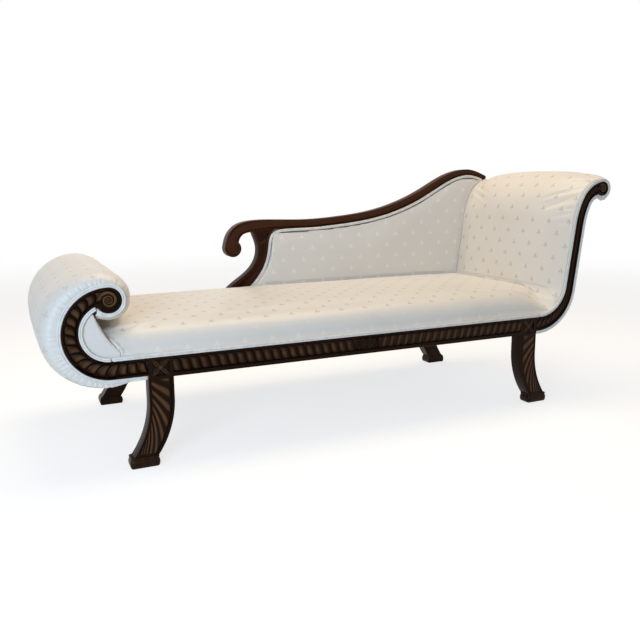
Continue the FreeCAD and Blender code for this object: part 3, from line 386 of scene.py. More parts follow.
def makeSatin(name, sheenAhead, sheenUp, ground=satin["ground"]):
    # the two numbers after the name: how much painted sheen lightens, or painted shade darkens, the sprigs
    # on faces that look forward and up
    shade = Shade(name)
    cloth = shade.node("ShaderNodeUVMap", {"uv_map": "cloth"})
    u, v, _ = shade.parts(cloth)
    rows = v / satin["rowHeight"]
    row = rows.by("FLOOR")
    y = (rows - row - 0.5) * satin["rowHeight"]
    columns = u / satin["spacing"] + row.by("MULTIPLY", 0.5).by("FRACT")
    x = (columns.by("FRACT") - 0.5) * satin["spacing"]
    top = ellipse(shade, x, y, (0.0, 0.0050), (0.0036, 0.0056), 0.0)
    left = ellipse(shade, x, y, (-0.0050, -0.0022), (0.0048, 0.0031), 0.35)
    right = ellipse(shade, x, y, (0.0050, -0.0022), (0.0048, 0.0031), -0.35)
    stem = ellipse(shade, x, y, (0.0, -0.0075), (0.0013, 0.0036), 0.0)
    sprig = top.by("MAXIMUM", left).by("MAXIMUM", right).by("MAXIMUM", stem)
    normal = shade.node("ShaderNodeNewGeometry", {}, {}, "Normal")
    _, ny, nz = shade.parts(normal)
    # which way the cloth faces, used to paint sheen and shade onto the sprigs
    ahead = shade.step(0 - ny, 0.35, 0.95)
    sheen = ahead * sheenAhead + (1 - ahead) * sheenUp
    broad = shade.noise(shade.place(), 4.0)
    thread = shade.noise(shade.stretched(cloth, (900.0, 260.0, 1.0)), 1.0, 2.0)
    base = shade.blend(shade.step(broad, 0.3, 0.75) * 0.35, ground, satin["shadow"])
    # painted sheen and painted shade: the sprigs are lightened or darkened according to which way the face
    # looks
    lighter = shade.blend(sprig * sheen.by("MAXIMUM", 0.0), base, satin["sheenLight"])
    darker = shade.blend(sprig * (0 - sheen).by("MAXIMUM", 0.0), lighter, satin["sheenShade"])
    bands = {"wave_type": "BANDS", "bands_direction": "Y"}
    weft = {"Vector": cloth, "Scale": 480.0, "Distortion": 1.5, "Detail": 1.0}
    grain = shade.node("ShaderNodeTexWave", bands, weft, 1)
    height = thread * 0.6 + grain * 0.25 + sprig * 0.5
    return shade.finish({
        "Base Color": darker,
        "Roughness": satin["roughness"] + sprig * 0.12 - thread * 0.06,
        "Sheen Weight": 0.25,
        "Sheen Roughness": 0.4,
        "Specular IOR Level": 0.45,
        "Normal": shade.bump(height, 0.00018, 0.35),
    })


wood = {
    # the darkest tone: dark grain stripes, and painted shade in the carving's recesses
    "deep": colour(0.0030, 0.0012, 0.0007),
    "body": colour(0.0085, 0.0024, 0.0011),
    # the next colour: real wear, and painted highlight, on the carving's raised parts
    "wearAndHighlight": colour(0.140, 0.070, 0.032),
    "red": colour(0.028, 0.0060, 0.0024),
    # likewise for the red crest: real wear and painted highlight on raised parts
    "redWearAndHighlight": colour(0.09, 0.035, 0.017),
    "roughness": 0.30,
    "gloss": 0.13,
    "glossTint": colour(1.0, 0.62, 0.42),
}


def makeWood(name, grain, carved=True, body=wood["body"], wearAndHighlight=wood["wearAndHighlight"], wearAndHighlightAmount=1.0):
    shade = Shade(name)
    place = shade.place()
    fibre = shade.noise(shade.stretched(place, grain), 1.0, 5.0, 0.65)
    cloud = shade.noise(place, 9.0, 2.0)
    stripe = shade.step(fibre, 0.35, 0.7)
    plain = shade.blend(stripe * 0.75, body, wood["deep"])
    if carved:
        relief = shade.node("ShaderNodeAttribute", {"attribute_name": "relief"}, {}, "Fac")
        # painted shade: low relief, the carving's recesses, is darkened towards the darkest tone
        sunk = shade.blend(1 - shade.step(relief, 0.1, 0.6), plain, wood["deep"])
        # raised relief takes the lighter colour: partly real wear, partly painted highlight on the
        # carving's tops
        wearAndHighlightShare = shade.step(relief + fibre * 0.2, 0.78, 1.12) * wearAndHighlightAmount
        base = shade.blend(wearAndHighlightShare * (0.45 + cloud * 0.7), sunk, wearAndHighlight)
    else:
        base = shade.blend(shade.step(cloud, 0.45, 0.7) * 0.25 * wearAndHighlightAmount, plain, wearAndHighlight)
    return shade.finish({
        "Base Color": base,
        "Roughness": wood["roughness"] + cloud * 0.12 - stripe * 0.04,
        "Specular IOR Level": wood["gloss"],
        "Specular Tint": wood["glossTint"],
        "Normal": shade.bump(fibre * 0.7 + cloud * 0.3, 0.0006, 0.35),
    })


def makePlain(name, dark, light, roughness, scale, metallic=0.0, weave=0.0):
    shade = Shade(name)
    place = shade.place()
    cloud = shade.noise(place, scale)
    height = cloud
    if weave:
        x, y, z = shade.parts(place)
        height = (x * weave).by("SINE") * (y * weave).by("SINE") * 0.5 + cloud
    return shade.finish({
        "Base Color": shade.blend(shade.step(cloud, 0.3, 0.7), dark, light),
        "Roughness": roughness + cloud * 0.15,
        "Metallic": metallic,
        "Normal": shade.bump(height, 0.0004, 0.5),
    })


# each pad's satin paints its own sheen and shade onto the sprigs, by how its faces look forward and up
seatSatin = makeSatin("seatSatin", 0.3, -0.55)
backSatin = makeSatin("backSatin", 0.45, 0.2)
headSatin = makeSatin("headSatin", 0.75, -0.5)
rollSatin = makeSatin("rollSatin", 0.1, -0.4)
pipingSatin = makePlain("pipingSatin", colour(0.70, 0.67, 0.62), colour(0.80, 0.775, 0.735), 0.5, 60.0)
railWood = makeWood("railWood", (3.0, 60.0, 60.0))
boardWood = makeWood("boardWood", (22.0, 60.0, 22.0))
legWood = makeWood("legWood", (60.0, 60.0, 4.0), wearAndHighlightAmount=0.8)
crestWood = makeWood("crestWood", (4.0, 60.0, 60.0), body=wood["red"], wearAndHighlight=wood["redWearAndHighlight"], wearAndHighlightAmount=0.7)
plainWood = makeWood("plainWood", (4.0, 60.0, 60.0), carved=False)
plainStuffs = {  # darker and lighter tone, roughness, size of the cloudiness and what else differs
    "beechWood": ((0.42, 0.28, 0.15), (0.58, 0.42, 0.25), 0.6, 30.0, {}),
    "juteCloth": ((0.36, 0.25, 0.13), (0.55, 0.42, 0.26), 0.85, 300.0, {"weave": 1500.0}),
    "blackCloth": ((0.012, 0.012, 0.012), (0.03, 0.03, 0.03), 0.9, 120.0, {"weave": 2500.0}),
    "zincSteel": ((0.45, 0.45, 0.46), (0.62, 0.62, 0.62), 0.35, 90.0, {"metallic": 1.0}),
}
beechWood, juteCloth, blackCloth, zincSteel = (
    makePlain(name, colour(*dark), colour(*light), roughness, scale, **more)
    for name, (dark, light, roughness, scale, more) in plainStuffs.items()
)
print("materials made")

# Front rail: gadroons that lean away from a leaf at the middle
rail = {
    "lowerStrip": 12.0,
    "upperStrip": 6.0,
    "carvingDepth": 6.0,
    "lobesEachHalf": 21,
    "lean": 11.0,
    "leafWidth": 84.0,
}


def railHeight(u, v, flat):
    x, z = flat[..., 0], flat[..., 1]
    low = seatFrame["railBottom"] + rail["lowerStrip"]
    high = seatFrame["railTop"] - rail["upperStrip"]
    band = np.clip((z - low) / (high - low), 0, 1)
    far = np.abs(x)
    start = rail["leafWidth"] / 2
    pitch = (blockInner - start) / rail["lobesEachHalf"]
    place = ((far - start - rail["lean"] * band) / pitch) % 1.0
    shape = np.abs(2 * place - 1) ** 2.3 + np.abs(2 * band - 1) ** 7
    lobes = np.sqrt(np.clip(1 - shape, 0, 1)) * (0.9 + 0.1 * np.sin(band * 3.1))
    lobes = np.where(far < start, 0, lobes)
    # the leaf: flutes that fan out of a point below the band
    rise = z - low + 26
    turn = np.arctan2(x, rise)
    flutes = np.abs(np.cos(turn * 7.5)) ** 0.6
    outline = (x / start) ** 2 * 0.8 + (2 * band - 1) ** 4
    leaf = flutes * np.sqrt(np.clip(1 - outline, 0, 1)) * (0.75 + 0.25 * np.cos(rise * 0.9))
    leaf = np.where(far < start, leaf, 0)
    inBand = (z > low - 0.01) & (z < high + 0.01)
    strip = rail["carvingDepth"] - arris(z - seatFrame["railBottom"]) - arris(seatFrame["railTop"] - z)
    groove = np.exp(-(((z - low + 2.2) / 0.9) ** 2)) * 1.2
    height = np.where(inBand, rail["carvingDepth"] * np.maximum(lobes, leaf) * 0.97, strip - groove)
    # the tint climbs across each lobe, so one side of every gadroon gets painted highlight and the other
    # painted shade
    return height, np.where(inBand, height / rail["carvingDepth"] * (0.70 + 0.34 * place), 0.62)


def buildRail():
    stations = int(seatFrame["railLength"] / 1.1)
    x = np.linspace(-blockInner, blockInner, stations)
    low = np.stack([x, np.full(stations, seatFrame["railBottom"])], axis=1)
    high = np.stack([x, np.full(stations, seatFrame["railTop"])], axis=1)
    lower, upper = rail["lowerStrip"], 60 - rail["upperStrip"]
    rows = [0, 0.4, 1.0, 1.8, 4, 7, 8.6, 9.8, 11.0, lower - 0.02, lower + 0.02]
    rows += list(np.linspace(lower, upper, 36)[1:-1]) + [upper - 0.02, upper + 0.02, 57, 58.6, 59.4, 60]
    pile = Pile()
    depth = rail["carvingDepth"]
    carvedPlate(pile, low, high, np.array(rows) / 60.0, railHeight, depth, seatFrame["boardDepth"])
    piece = pile.piece("frontSeatRail", railWood, "mahogany")
    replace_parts(piece, "front_seat_rail")


# Scroll boards: a rope of slanted lobes between plain margins, and a volute at the end
footScroll = {
    "margin": 7.0,
    "outer": [(94.0, 0), (128.0, 90), (128.0, 90)],
    "inner": [(96.0, 0), (82.0, 82), (82.0, 82)],
    "voluteRadius": 35.0,
    "lobes": 16,
    "lean": 0.5,
    "bow": 0.16,
    "overlap": 0.28,
    # how strongly the raised lobes take the lighter colour: partly wear, partly painted highlight
    "wearAndHighlightTint": 1.06,
    "carvingDepth": 6.0,
    "eye": 32.0,
    "winding": 0.62,
    "rim": 6.0,
    "ropeHalf": 14.0,
}
headScroll = {
    "margin": 7.0,
    "outer": [(7.0, 0), (157.0, 82.6), (243.0, 0), (250.0, -18.0), (60.0, -60.0)],
    "inner": [(15.0, 0), (118.0, 82.6), (230.0, 0), (270.0, -20.0), (115.0, -55.9)],
    "voluteRadius": 25.0,
    "lobes": 27,
    "lean": 1.2,
    "bow": 0.1,
    "overlap": 0.5,
    "wearAndHighlightTint": 1.12,
    "carvingDepth": 6.0,
    "eye": 22.5,
    "winding": 0.62,
    "rim": 4.5,
    "ropeHalf": 9.0,
}
boardBottom = seatFrame["railBottom"] + 10
outerStart = (blockOuter, boardBottom)
innerStart = (blockOuter, seatFrame["railTop"])


def ropeHeight(scroll, fullness):
    def height(u, v, flat):
        width = np.linalg.norm(flat[:, -1] - flat[:, 0], axis=1)[:, None]
        margin = scroll["margin"]
        across = v * width
        band = np.clip((across - margin) / (width - 2 * margin), 0, 1)
        lag = scroll["lean"] * (band - 0.5) + scroll["bow"] * (1 - (2 * band - 1) ** 2)
        place = (u * scroll["lobes"] - lag) % 1.0
        shape = np.abs(2 * place - 1) ** fullness[0] + np.abs(2 * band - 1) ** fullness[1]
        lobe = np.sqrt(np.clip(1 - shape, 0, 1)) * (1 - scroll["overlap"] * place)
        inBand = (across > margin - 0.01) & (across < width - margin + 0.01)
        plain = scroll["carvingDepth"] - arris(across) - arris(width - across)
        height = np.where(inBand, scroll["carvingDepth"] * lobe * 0.95, plain)
        # the tint: recesses get painted shade, lobe tops real wear and painted highlight
        return height, np.where(inBand, height / scroll["carvingDepth"] * scroll["wearAndHighlightTint"], 0.6)

    return height


def voluteHeight(scroll, centre, band, start):
    # a bead that winds in clockwise from the angle start; the rope shows where it enters the disc
    radius, depth, eye = scroll["voluteRadius"], scroll["carvingDepth"], scroll["eye"]

    def height(r, a):
        turned = (start - a) % (2 * math.pi)
        coil = np.log(np.maximum(eye / r, 1e-3)) / scroll["winding"] - turned / (2 * math.pi)
        phase = coil % 1.0
        bead = np.sqrt(np.clip(1 - np.abs(2 * phase - 1) ** 2.2, 0, 1))
        bead = bead * np.where((coil < 1) & (coil >= 0), np.clip(turned / 0.6, 0, 1) ** 0.5, 1)
        middle = np.sqrt(np.clip(1 - (r / 3.2) ** 2, 0, 1))
        carved = depth * np.where(coil >= 0, 0.12 + 0.86 * bead, 0.05)
        carved = np.where(r < 3.0, depth * (0.5 + 0.45 * middle), carved)
        edge = eye * np.exp(-scroll["winding"] * turned / (2 * math.pi)) + 0.6
        share = (r - edge) / np.maximum(radius - scroll["rim"] - edge, 0.5)
        place = (turned * 3.2 + 0.8 * share) % 1.0
        shape = np.abs(2 * place - 1) ** 2.8 + np.abs(2 * share - 1) ** 2.6
        last = (share > 0) & (share < 1) & (turned < 1.9)
        lobe = np.sqrt(np.clip(1 - shape, 0, 1)) * (1 - turned / 3)
        carved = np.where(last, depth * np.maximum(lobe, 0.05), carved)
        rim = depth + 0.2 - arris(radius - r)
        x, z = centre[0] + r * np.cos(a), centre[1] + r * np.sin(a)
        _, gap = nearestOn(band, np.stack([x.ravel(), z.ravel()], axis=1))
        entry = (turned < 0.75) | (turned > 5.5)
        onRope = (gap.reshape(x.shape) < scroll["ropeHalf"]) & (coil < 0) & entry
        whole = np.where(r > radius - scroll["rim"], rim, carved)
        whole = np.where(onRope, -1.5, whole)
        return whole, np.where(r > radius - scroll["rim"], 0.6, whole / depth * 0.98)

    return height


def scrollPiece(name, node, scroll, side, fullness, start, centre):
    outer, _ = follow(outerStart, 0, scroll["outer"])
    inner, _ = follow(innerStart, 0, scroll["inner"])
    stations = int(lengthAlong(outer)[-1] / 1.1)
    low, high = evenly(outer, stations), evenly(inner, stations)
    rows = [0, 0.01, 0.025, 0.05, 0.12, 0.145, 0.155]
    rows += list(np.linspace(0.16, 0.84, 34)) + [0.845, 0.855, 0.88, 0.95, 0.975, 0.99, 1.0]
    flip = np.array([side, 1.0])
    pile = Pile()
    depth, rear = scroll["carvingDepth"], seatFrame["boardDepth"]
    carvedPlate(pile, low * flip, high * flip, rows, ropeHeight(scroll, fullness), depth, rear)
    middle = (side * centre[0], centre[1])
    band = ((low + high) / 2 * flip)[-160:]
    shape = voluteHeight(scroll, middle, band, start)
    carvedDisc(pile, middle, scroll["voluteRadius"], shape, depth, rear - 0.2)
    piece = pile.piece(name, boardWood, "mahogany")
    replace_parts(piece, node)


def footVoluteCentre():
    top = follow(outerStart, 0, footScroll["outer"])[0][-1]
    return top[0], top[1] - footScroll["voluteRadius"]


def headVoluteCentre():
    points, normals = follow(innerStart, 0, headScroll["inner"])
    return tuple(points[-1] - normals[-1] * headScroll["voluteRadius"])


# Legs: sabre legs with slanting reeds between fillets, a carved square above and a moulded foot
leg = {
    "outer": [(70.0, 0), (270.0, 36.5)],
    "inner": [(62.0, 0), (284.0, 37.0)],
    "reeds": 11.0,
    "reedSlope": 0.12,
    "reedSteepening": 1.1,
    "reedDepth": 3.2,
    "outerFillet": 4.0,
    "innerFillet": 9.0,
    "footHeight": 28.0,
    "footWidth": 80.0,
    "footProud": 2.5,
}


def legHeight(u, v, flat):
    width = np.linalg.norm(flat[:, -1] - flat[:, 0], axis=1)[:, None]
    across = v * width  # from the outer edge to the inner one
    outer, inner = leg["outerFillet"], leg["innerFillet"]
    band = np.clip((across - outer) / (width - outer - inner - 2), 0, 1)
    root = (u - leg["reedSlope"] * band) / (1 + leg["reedSteepening"] * band)
    reed = np.abs(np.sin(math.pi * root * leg["reeds"])) ** 0.75
    fade = np.clip(u / 0.03, 0, 1) * np.clip((0.97 - u) / 0.04, 0, 1)
    edges = np.sqrt(np.clip(1 - np.abs(2 * band - 1) ** 8, 0, 1))
    carved = leg["reedDepth"] * ((0.15 + 0.85 * reed * edges) * fade + 0.5 * (1 - fade))
    plain = leg["reedDepth"] - arris(across) - arris(width - across)
    inBand = (across > outer - 0.01) & (across < width - inner - 1.99)
    groove = (across > width - inner - 2.0) & (across < width - inner)
    height = np.where(inBand, carved, np.where(groove, 0.3, plain))
    # the groove beside the inner fillet is painted dark, as painted shade in it
    return height, np.where(inBand, height / leg["reedDepth"], np.where(groove, 0.1, 0.66))


def squareHeight(u, v, flat):
    x, z = flat[..., 0], flat[..., 1]
    dx, dz = np.abs(x) - blockInner - seatFrame["blockWidth"] / 2, z - seatFrame["railBottom"] - 30
    reach = 23.5
    across = np.abs(np.abs(dx) - np.abs(dz)) / math.sqrt(2)
    along = (np.abs(dx) + np.abs(dz)) / math.sqrt(2)
    width = 8.5 * np.sqrt(np.clip(1 - ((along - 17) / 16.5) ** 2, 0, 1)) + 0.01
    petal = np.sqrt(np.clip(1 - (across / width) ** 2, 0, 1))
    lobes = 0.78 + 0.22 * np.cos(along * 1.05)
    rib = np.exp(-((across / 1.1) ** 2)) * 0.35
    boss = np.sqrt(np.clip(1 - (np.hypot(dx, dz) / 6.0) ** 2, 0, 1))
    inside = np.maximum(petal * (lobes - rib), boss)
    square = np.maximum(np.abs(dx), np.abs(dz)) < reach
    bead = sum(np.exp(-(((np.abs(dx) - at) / 1.3) ** 2)) for at in (27.5, 32.5))
    plain = 4.0 - arris(seatFrame["railTop"] - z) - 1.0 * np.clip(bead, 0, 1)
    height = np.where(square, 3.8 * inside + 0.1, plain)
    # the beads round the square are painted darker, as painted shade in their hollows
    return height, np.where(square, 1.1 * inside, 0.66 - 0.4 * np.clip(bead, 0, 1))


def footBlock(pile, side):
    inner, _ = follow((blockInner, seatFrame["railBottom"]), -90, leg["inner"])
    heel = inner[-1][0] - 5
    toe = heel + leg["footWidth"]
    back, proud = seatFrame["blockDepth"], leg["footProud"]
    levels = [(0, -3.5), (1.5, -2), (8, 0), (16, 0.4), (22, -1.2), (24.5, -3.4), (25.5, -3.6)]
    levels += [(26, -1.8), (29, -1.4), (31.5, -2.6), (32.5, -5.5)]
    rings = []
    for z, grow in levels:
        ring = []
        reach = 7 + grow + proud
        corners = ((toe - 7, back - 7), (heel + 7, back - 7), (heel + 7, 7), (toe - 7, 7))
        for quarter, (cx, cy) in enumerate(corners):
            for turn in np.radians(np.linspace(90 * quarter, 90 * quarter + 90, 6)):
                ring.append((cx + reach * math.cos(turn), cy + reach * math.sin(turn), z))
        rings.append(ring)
    size = len(rings[0])
    points = [(side * x, y, z) for ring in rings for x, y, z in ring]
    pile.add(points, tubeFaces(len(rings), size), [0.75] * len(points))


def buildLeg(name, node, side):
    bottom = seatFrame["railBottom"]
    outer, inner = (
        follow((x, bottom + 1), -90, [(leg[edge][0][0] + 1, 0), leg[edge][1]])[0]
        for edge, x in (("outer", blockOuter), ("inner", blockInner))
    )
    flip = np.array([side, 1.0])
    low, high = evenly(outer, 260) * flip, evenly(inner, 260) * flip
    rows = [0, 0.006, 0.014, 0.03, 0.05, 0.056] + list(np.linspace(0.06, 0.84, 46))
    rows += [0.845, 0.85, 0.868, 0.873, 0.9, 0.96, 0.985, 0.995, 1.0]
    pile = Pile()
    carvedPlate(pile, low, high, rows, legHeight, leg["reedDepth"], seatFrame["blockDepth"])
    x = np.linspace(blockInner, blockOuter, 90)
    floor = np.stack([x, np.full(90, bottom)], axis=1) * flip
    top = np.stack([x, np.full(90, seatFrame["railTop"])], axis=1) * flip
    carvedPlate(pile, floor, top, np.linspace(0, 1, 76), squareHeight, 4.0, seatFrame["blockDepth"])
    footBlock(pile, side)
    piece = pile.piece(name, legWood, "mahogany")
    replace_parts(piece, node)


# Back: moulded crest rail with a crook and a round end, and a stile that carries it
back = {
    "crest": [
        (-262, 558, 60), (-248, 606, 51), (-212, 645, 45), (-150, 662, 44), (-60, 664, 38),
        (80, 661, 32), (240, 671, 31), (390, 692, 31), (510, 725, 31), (640, 781, 30),
        (748, 836, 28), (815, 857, 26), (874, 862, 25), (929, 849, 23), (967, 834, 20),
    ],
    "ball": (-227, 556),
    "ballRadius": 33.0,
    "depth": 45.0,
    "stileDepth": 41.0,
    "stileLeft": [
        (-150, 630), (-138, 600), (-126, 560), (-138, 500),
        (-178, 455), (-238, 412), (-276, 368), (-290, 320),
    ],
    "stileRight": [
        (-40, 640), (-80, 596), (-86, 555), (-104, 487), (-150, 421), (-192, 366), (-204, 320),
    ],
}


def belowCrest(share, drop):
    line = back["crest"]
    moved = []
    for i, (x, z, thickness) in enumerate(line):
        ahead, behind = line[min(i + 1, len(line) - 1)], line[max(i - 1, 0)]
        slope = math.atan2(ahead[1] - behind[1], ahead[0] - behind[0])
        depth = thickness * share + drop
        moved.append((x + depth * math.sin(slope), z - depth * math.cos(slope)))
    return moved


def mouldedProfile(depth, reeds):
    # a closed ring: reeded face, rounded arrises and a plain rear face
    ring = []
    for share in np.linspace(0.0, 1.0, 33):
        dip = sum(1.6 * math.exp(-(((share - at) / 0.035) ** 2)) for at in reeds)
        round_ = 5.0 * (abs(2 * share - 1) ** 3)
        ring.append((share, dip + round_))
    for share in np.linspace(1.0, 0.0, 13):
        ring.append((share, depth - 4.0 * abs(2 * share - 1) ** 3))
    return ring


def buildBack():
    start = seatFrame["depth"] - back["depth"]
    upper = smoothLine(belowCrest(0, 0), 420)
    lower = smoothLine(belowCrest(1, 0), 420)
    reeds = [0.16, 0.84]
    profile = [(share, start + y) for share, y in mouldedProfile(back["depth"], reeds)]
    grooves = [sum(math.exp(-(((p[0] - at) / 0.05) ** 2)) for at in reeds) for p in profile]
    # the reeds' grooves are painted darker, as painted shade
    relief = [0.9 - 0.5 * min(1, groove) for groove in grooves]
    pile = Pile()
    sweep(pile, lower, upper, profile, relief)

    def ball(r, a):
        dome = 3.0 * np.sqrt(np.clip(1 - (r / back["ballRadius"]) ** 4, 0, 1)) + 3
        coil = np.log(np.maximum(28.0 / r, 1e-3)) / 0.7 - a / (2 * math.pi)
        line = np.exp(-((((coil % 1.0) - 0.5) / 0.09) ** 2)) * (r > 5)
        height = dome - 1.7 * line - arris(back["ballRadius"] - r, 3.0)
        # the spiral line is painted darker, as painted shade in its groove
        return height, 0.9 - 0.6 * line

    rear = start + back["depth"] - 0.5
    carvedDisc(pile, back["ball"], back["ballRadius"], ball, 6.0, rear, front=start)
    crest = pile.piece("backTopRail", crestWood, "mahogany", 50)
    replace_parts(crest, "back_top_rail")

    def stileHeight(u, v, flat):
        width = np.linalg.norm(flat[:, -1] - flat[:, 0], axis=1)[:, None]
        across = v * width
        edge = np.minimum(across, width - across)
        bead = 4.5 - arris(edge, 2.5) - 2.2 * np.exp(-(((edge - 9) / 1.6) ** 2))
        hollow = 1.6 * np.exp(-(((v - 0.5) / 0.2) ** 2)) * (u > 0.2)
        leaf = (u < 0.17) & (edge > 11)
        veins = 2.0 + 1.6 * np.abs(np.sin((flat[..., 0] + 95) * 0.16 + np.abs(flat[..., 1] - 612) * 0.2))
        height = np.where(leaf, veins, bead - hollow)
        return height, height / 5.0

    pile = Pile()
    left = smoothLine(back["stileLeft"], 300)
    right = smoothLine(back["stileRight"], 300)
    inset = start + (back["depth"] - back["stileDepth"]) / 2
    rear = inset + back["stileDepth"]
    carvedPlate(pile, left, right, np.linspace(0, 1, 64), stileHeight, 5.0, rear, front=inset)
    stile = pile.piece("backStile", crestWood, "mahogany", 50)
    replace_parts(stile, "back_stile")


buildRail()
scrollPiece("footScrollFront", "foot_scroll_front", footScroll, -1, (2.8, 3.4), 2.9, footVoluteCentre())
scrollPiece("headScrollFront", "head_scroll_front", headScroll, 1, (2.2, 2.6), 2.9, headVoluteCentre())
buildLeg("legFrontFoot", "leg_front_foot", -1)
buildLeg("legFrontHead", "leg_front_head", 1)
buildBack()
print("carved wood made")

# Double piping along every edge where cloth meets wood
piping = {"width": 11.0, "cordRadius": 2.85, "proud": 1.5, "gap": 0.3}


def cordRing(pile, points, normals, away, radius, y, toward=1.0, rearward=False):
    size = 12
    count = len(points)
    along = lengthAlong(points)
    made = []
    for i in range(count):
        end = min(along[i], along[-1] - along[i])
        taper = math.sqrt(max(0.0, 1 - max(0.0, 1 - end / radius) ** 2)) * 0.97 + 0.03
        for turn in np.linspace(0, 2 * math.pi, size, endpoint=False):
            side = toward * (away + radius * taper * math.cos(turn))
            depth = y + radius * taper * math.sin(turn)
            if rearward:
                depth = seatFrame["depth"] - depth
            made.append((points[i][0] + normals[i][0] * side, depth, points[i][1] + normals[i][1] * side))
    pile.add(made, tubeFaces(count, size), [0.5] * len(made))


def doublePiping(name, node, start, runs, toward, side, rearward=False, line=None):
    if line is None:
        points, normals = follow(start, 0, runs, step=4.0)
    else:
        points, normals = line
    flip = np.array([side, 1.0])
    points, normals = points * flip, normals * flip
    pile, radius = Pile(), piping["cordRadius"]
    middle = radius - piping["proud"]
    for away in (piping["gap"] + radius, piping["width"] + piping["gap"] - radius):
        cordRing(pile, points, normals, away, radius, middle, toward, rearward)
    cordRing(pile, points, normals, piping["width"] / 2, radius * 0.75, middle + 1.6, toward, rearward)
    piece = pile.piece(name, pipingSatin, "piping", 60)
    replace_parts(piece, node)


def railLine(end):
    x = np.linspace(-blockOuter - footScroll["inner"][0][0], end, 300)
    points = np.stack([x, np.full(300, seatFrame["railTop"])], axis=1)
    return points, np.tile([0.0, 1.0], (300, 1))


def buildPiping():
    footOuter = [(94.0, 0), (128.0, 90), (128.0, 90), (35.0, 72), (35.0, 72), (35.0, 82)]
    footInner = [(82.0, 76), (82.0, 80)]
    headInner = headScroll["inner"][1:] + [(25.0, -98), (25.0, -98)]
    innerFoot = (blockOuter + footScroll["inner"][0][0], seatFrame["railTop"])
    innerHead = (blockOuter + headScroll["inner"][0][0], seatFrame["railTop"])
    for rearward, part, node in ((False, "", ""), (True, "Rear", "_rear")):
        for name, start, runs, toward, side in (
            ("foot{}OuterPiping", outerStart, footOuter, -1, -1),
            ("foot{}InnerPiping", innerFoot, footInner, 1, -1),
            ("head{}OuterPiping", outerStart, headScroll["outer"], -1, 1),
        ):
            end, edge = name[:4], "outer" if "Outer" in name else "inner"
            trimmed = f"{end}{node}_{edge}_piping"
            doublePiping(name.format(part), trimmed, start, runs, toward, side, rearward)
        end = back["stileLeft"][-1][0] - 1 if rearward else innerHead[0]
        name = "seatRearPiping" if rearward else "seatFrontPiping"
        trimmed = f"seat{node or '_front'}_piping"
        doublePiping(name, trimmed, None, None, 1, 1, rearward, railLine(end))
    doublePiping("headInnerPiping", "head_inner_piping", innerHead, headInner, 1, 1)


def buildBackPiping():
    # down the stile and along the underside of the crest, in front of the wood
    side = back["stileRight"][:1:-1]
    corner = [(-81, 586), (-71, 608), (-50, 621), (-20, 626), (20, 628)]
    rising = [p for p in belowCrest(1, 0) if p[0] > -20]
    points = smoothLine(side + corner + rising, 460)
    tangent = np.gradient(points, axis=0)
    tangent /= np.linalg.norm(tangent, axis=1)[:, None]
    normals = np.stack([tangent[:, 1], -tangent[:, 0]], axis=1)
    low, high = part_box("back_piping")
    keep = (points[:, 0] / 1000 + middleX < high.x - 0.006) & (points[:, 1] / 1000 > low.z)
    depth = (low.y - frontY) * 1000
    pile = Pile()
    radius = piping["cordRadius"]
    for away in (piping["gap"] + radius, piping["width"] - radius):
        cordRing(pile, points[keep], normals[keep], away, radius, depth + radius + 0.1)
    cordRing(pile, points[keep], normals[keep], piping["width"] / 2, radius * 0.75, depth + 4.0)
    piece = pile.piece("backPiping", pipingSatin, "piping", 60)
    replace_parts(piece, "back_piping")


buildPiping()
buildBackPiping()
print("piping made")

# Stuffed pads: skin each solid, shrink it a little, let it swell as cloth, then work seams and gathers
stuffing = {
    "frames": 20,
    "pressure": 4.0,
    "stiffness": 14.0,
    "shear": 6.0,
    "bending": 0.5,
    "proud": 2.5,  # how far a pad may stand out of its solid
    "seam": 9.0,  # how near a neighbour has to be for a seam
}
started = []


def readMesh(mesh):
    points = np.empty(len(mesh.vertices) * 3)
    normals = np.empty(len(mesh.vertices) * 3)
    mesh.vertices.foreach_get("co", points)
    mesh.vertex_normals.foreach_get("vector", normals)
    return points.reshape(-1, 3), normals.reshape(-1, 3)


def writeMesh(mesh, points):
    mesh.vertices.foreach_set("co", points.ravel())
    mesh.update()


def bake(piece):
    view = bpy.context.evaluated_depsgraph_get()
    mesh = bpy.data.meshes.new_from_object(piece.evaluated_get(view))
    piece.modifiers.clear()
    piece.data = mesh
    return mesh


def toDrawing(points):
    return (points - np.array([middleX, frontY, 0.0])) * 1000.0


def startPad(name, node, settings, held):
    piece = bpy.data.objects.new(name, nodes[node].data.copy())
    bpy.context.scene.collection.objects.link(piece)
    skin = piece.modifiers.new("skin", "REMESH")
    skin.mode = "VOXEL"
    skin.voxel_size = settings["voxel"] / 1000
    mesh = bake(piece)
    points, normals = readMesh(mesh)
    fixed = held(toDrawing(points), normals)
    piece.vertex_groups.new(name="held").add([int(i) for i in np.nonzero(fixed)[0]], 1.0, "REPLACE")
    away = np.where(fixed, 0.3, settings["shrink"])[:, None] / 1000
    writeMesh(mesh, points - normals * away)
    swell = piece.modifiers.new("swell", "CLOTH")
    cloth = swell.settings
    cloth.quality = 4
    cloth.mass = 0.3
    cloth.tension_stiffness = cloth.compression_stiffness = stuffing["stiffness"]
    cloth.shear_stiffness = stuffing["shear"]
    cloth.bending_stiffness = stuffing["bending"]
    cloth.use_pressure = True
    cloth.uniform_pressure_force = settings.get("pressure", stuffing["pressure"])
    cloth.effector_weights.gravity = 0
    cloth.vertex_group_mass = "held"
    swell.collision_settings.use_collision = False
    swell.point_cache.frame_start = 1
    swell.point_cache.frame_end = stuffing["frames"]
    started.append((piece, node, settings))


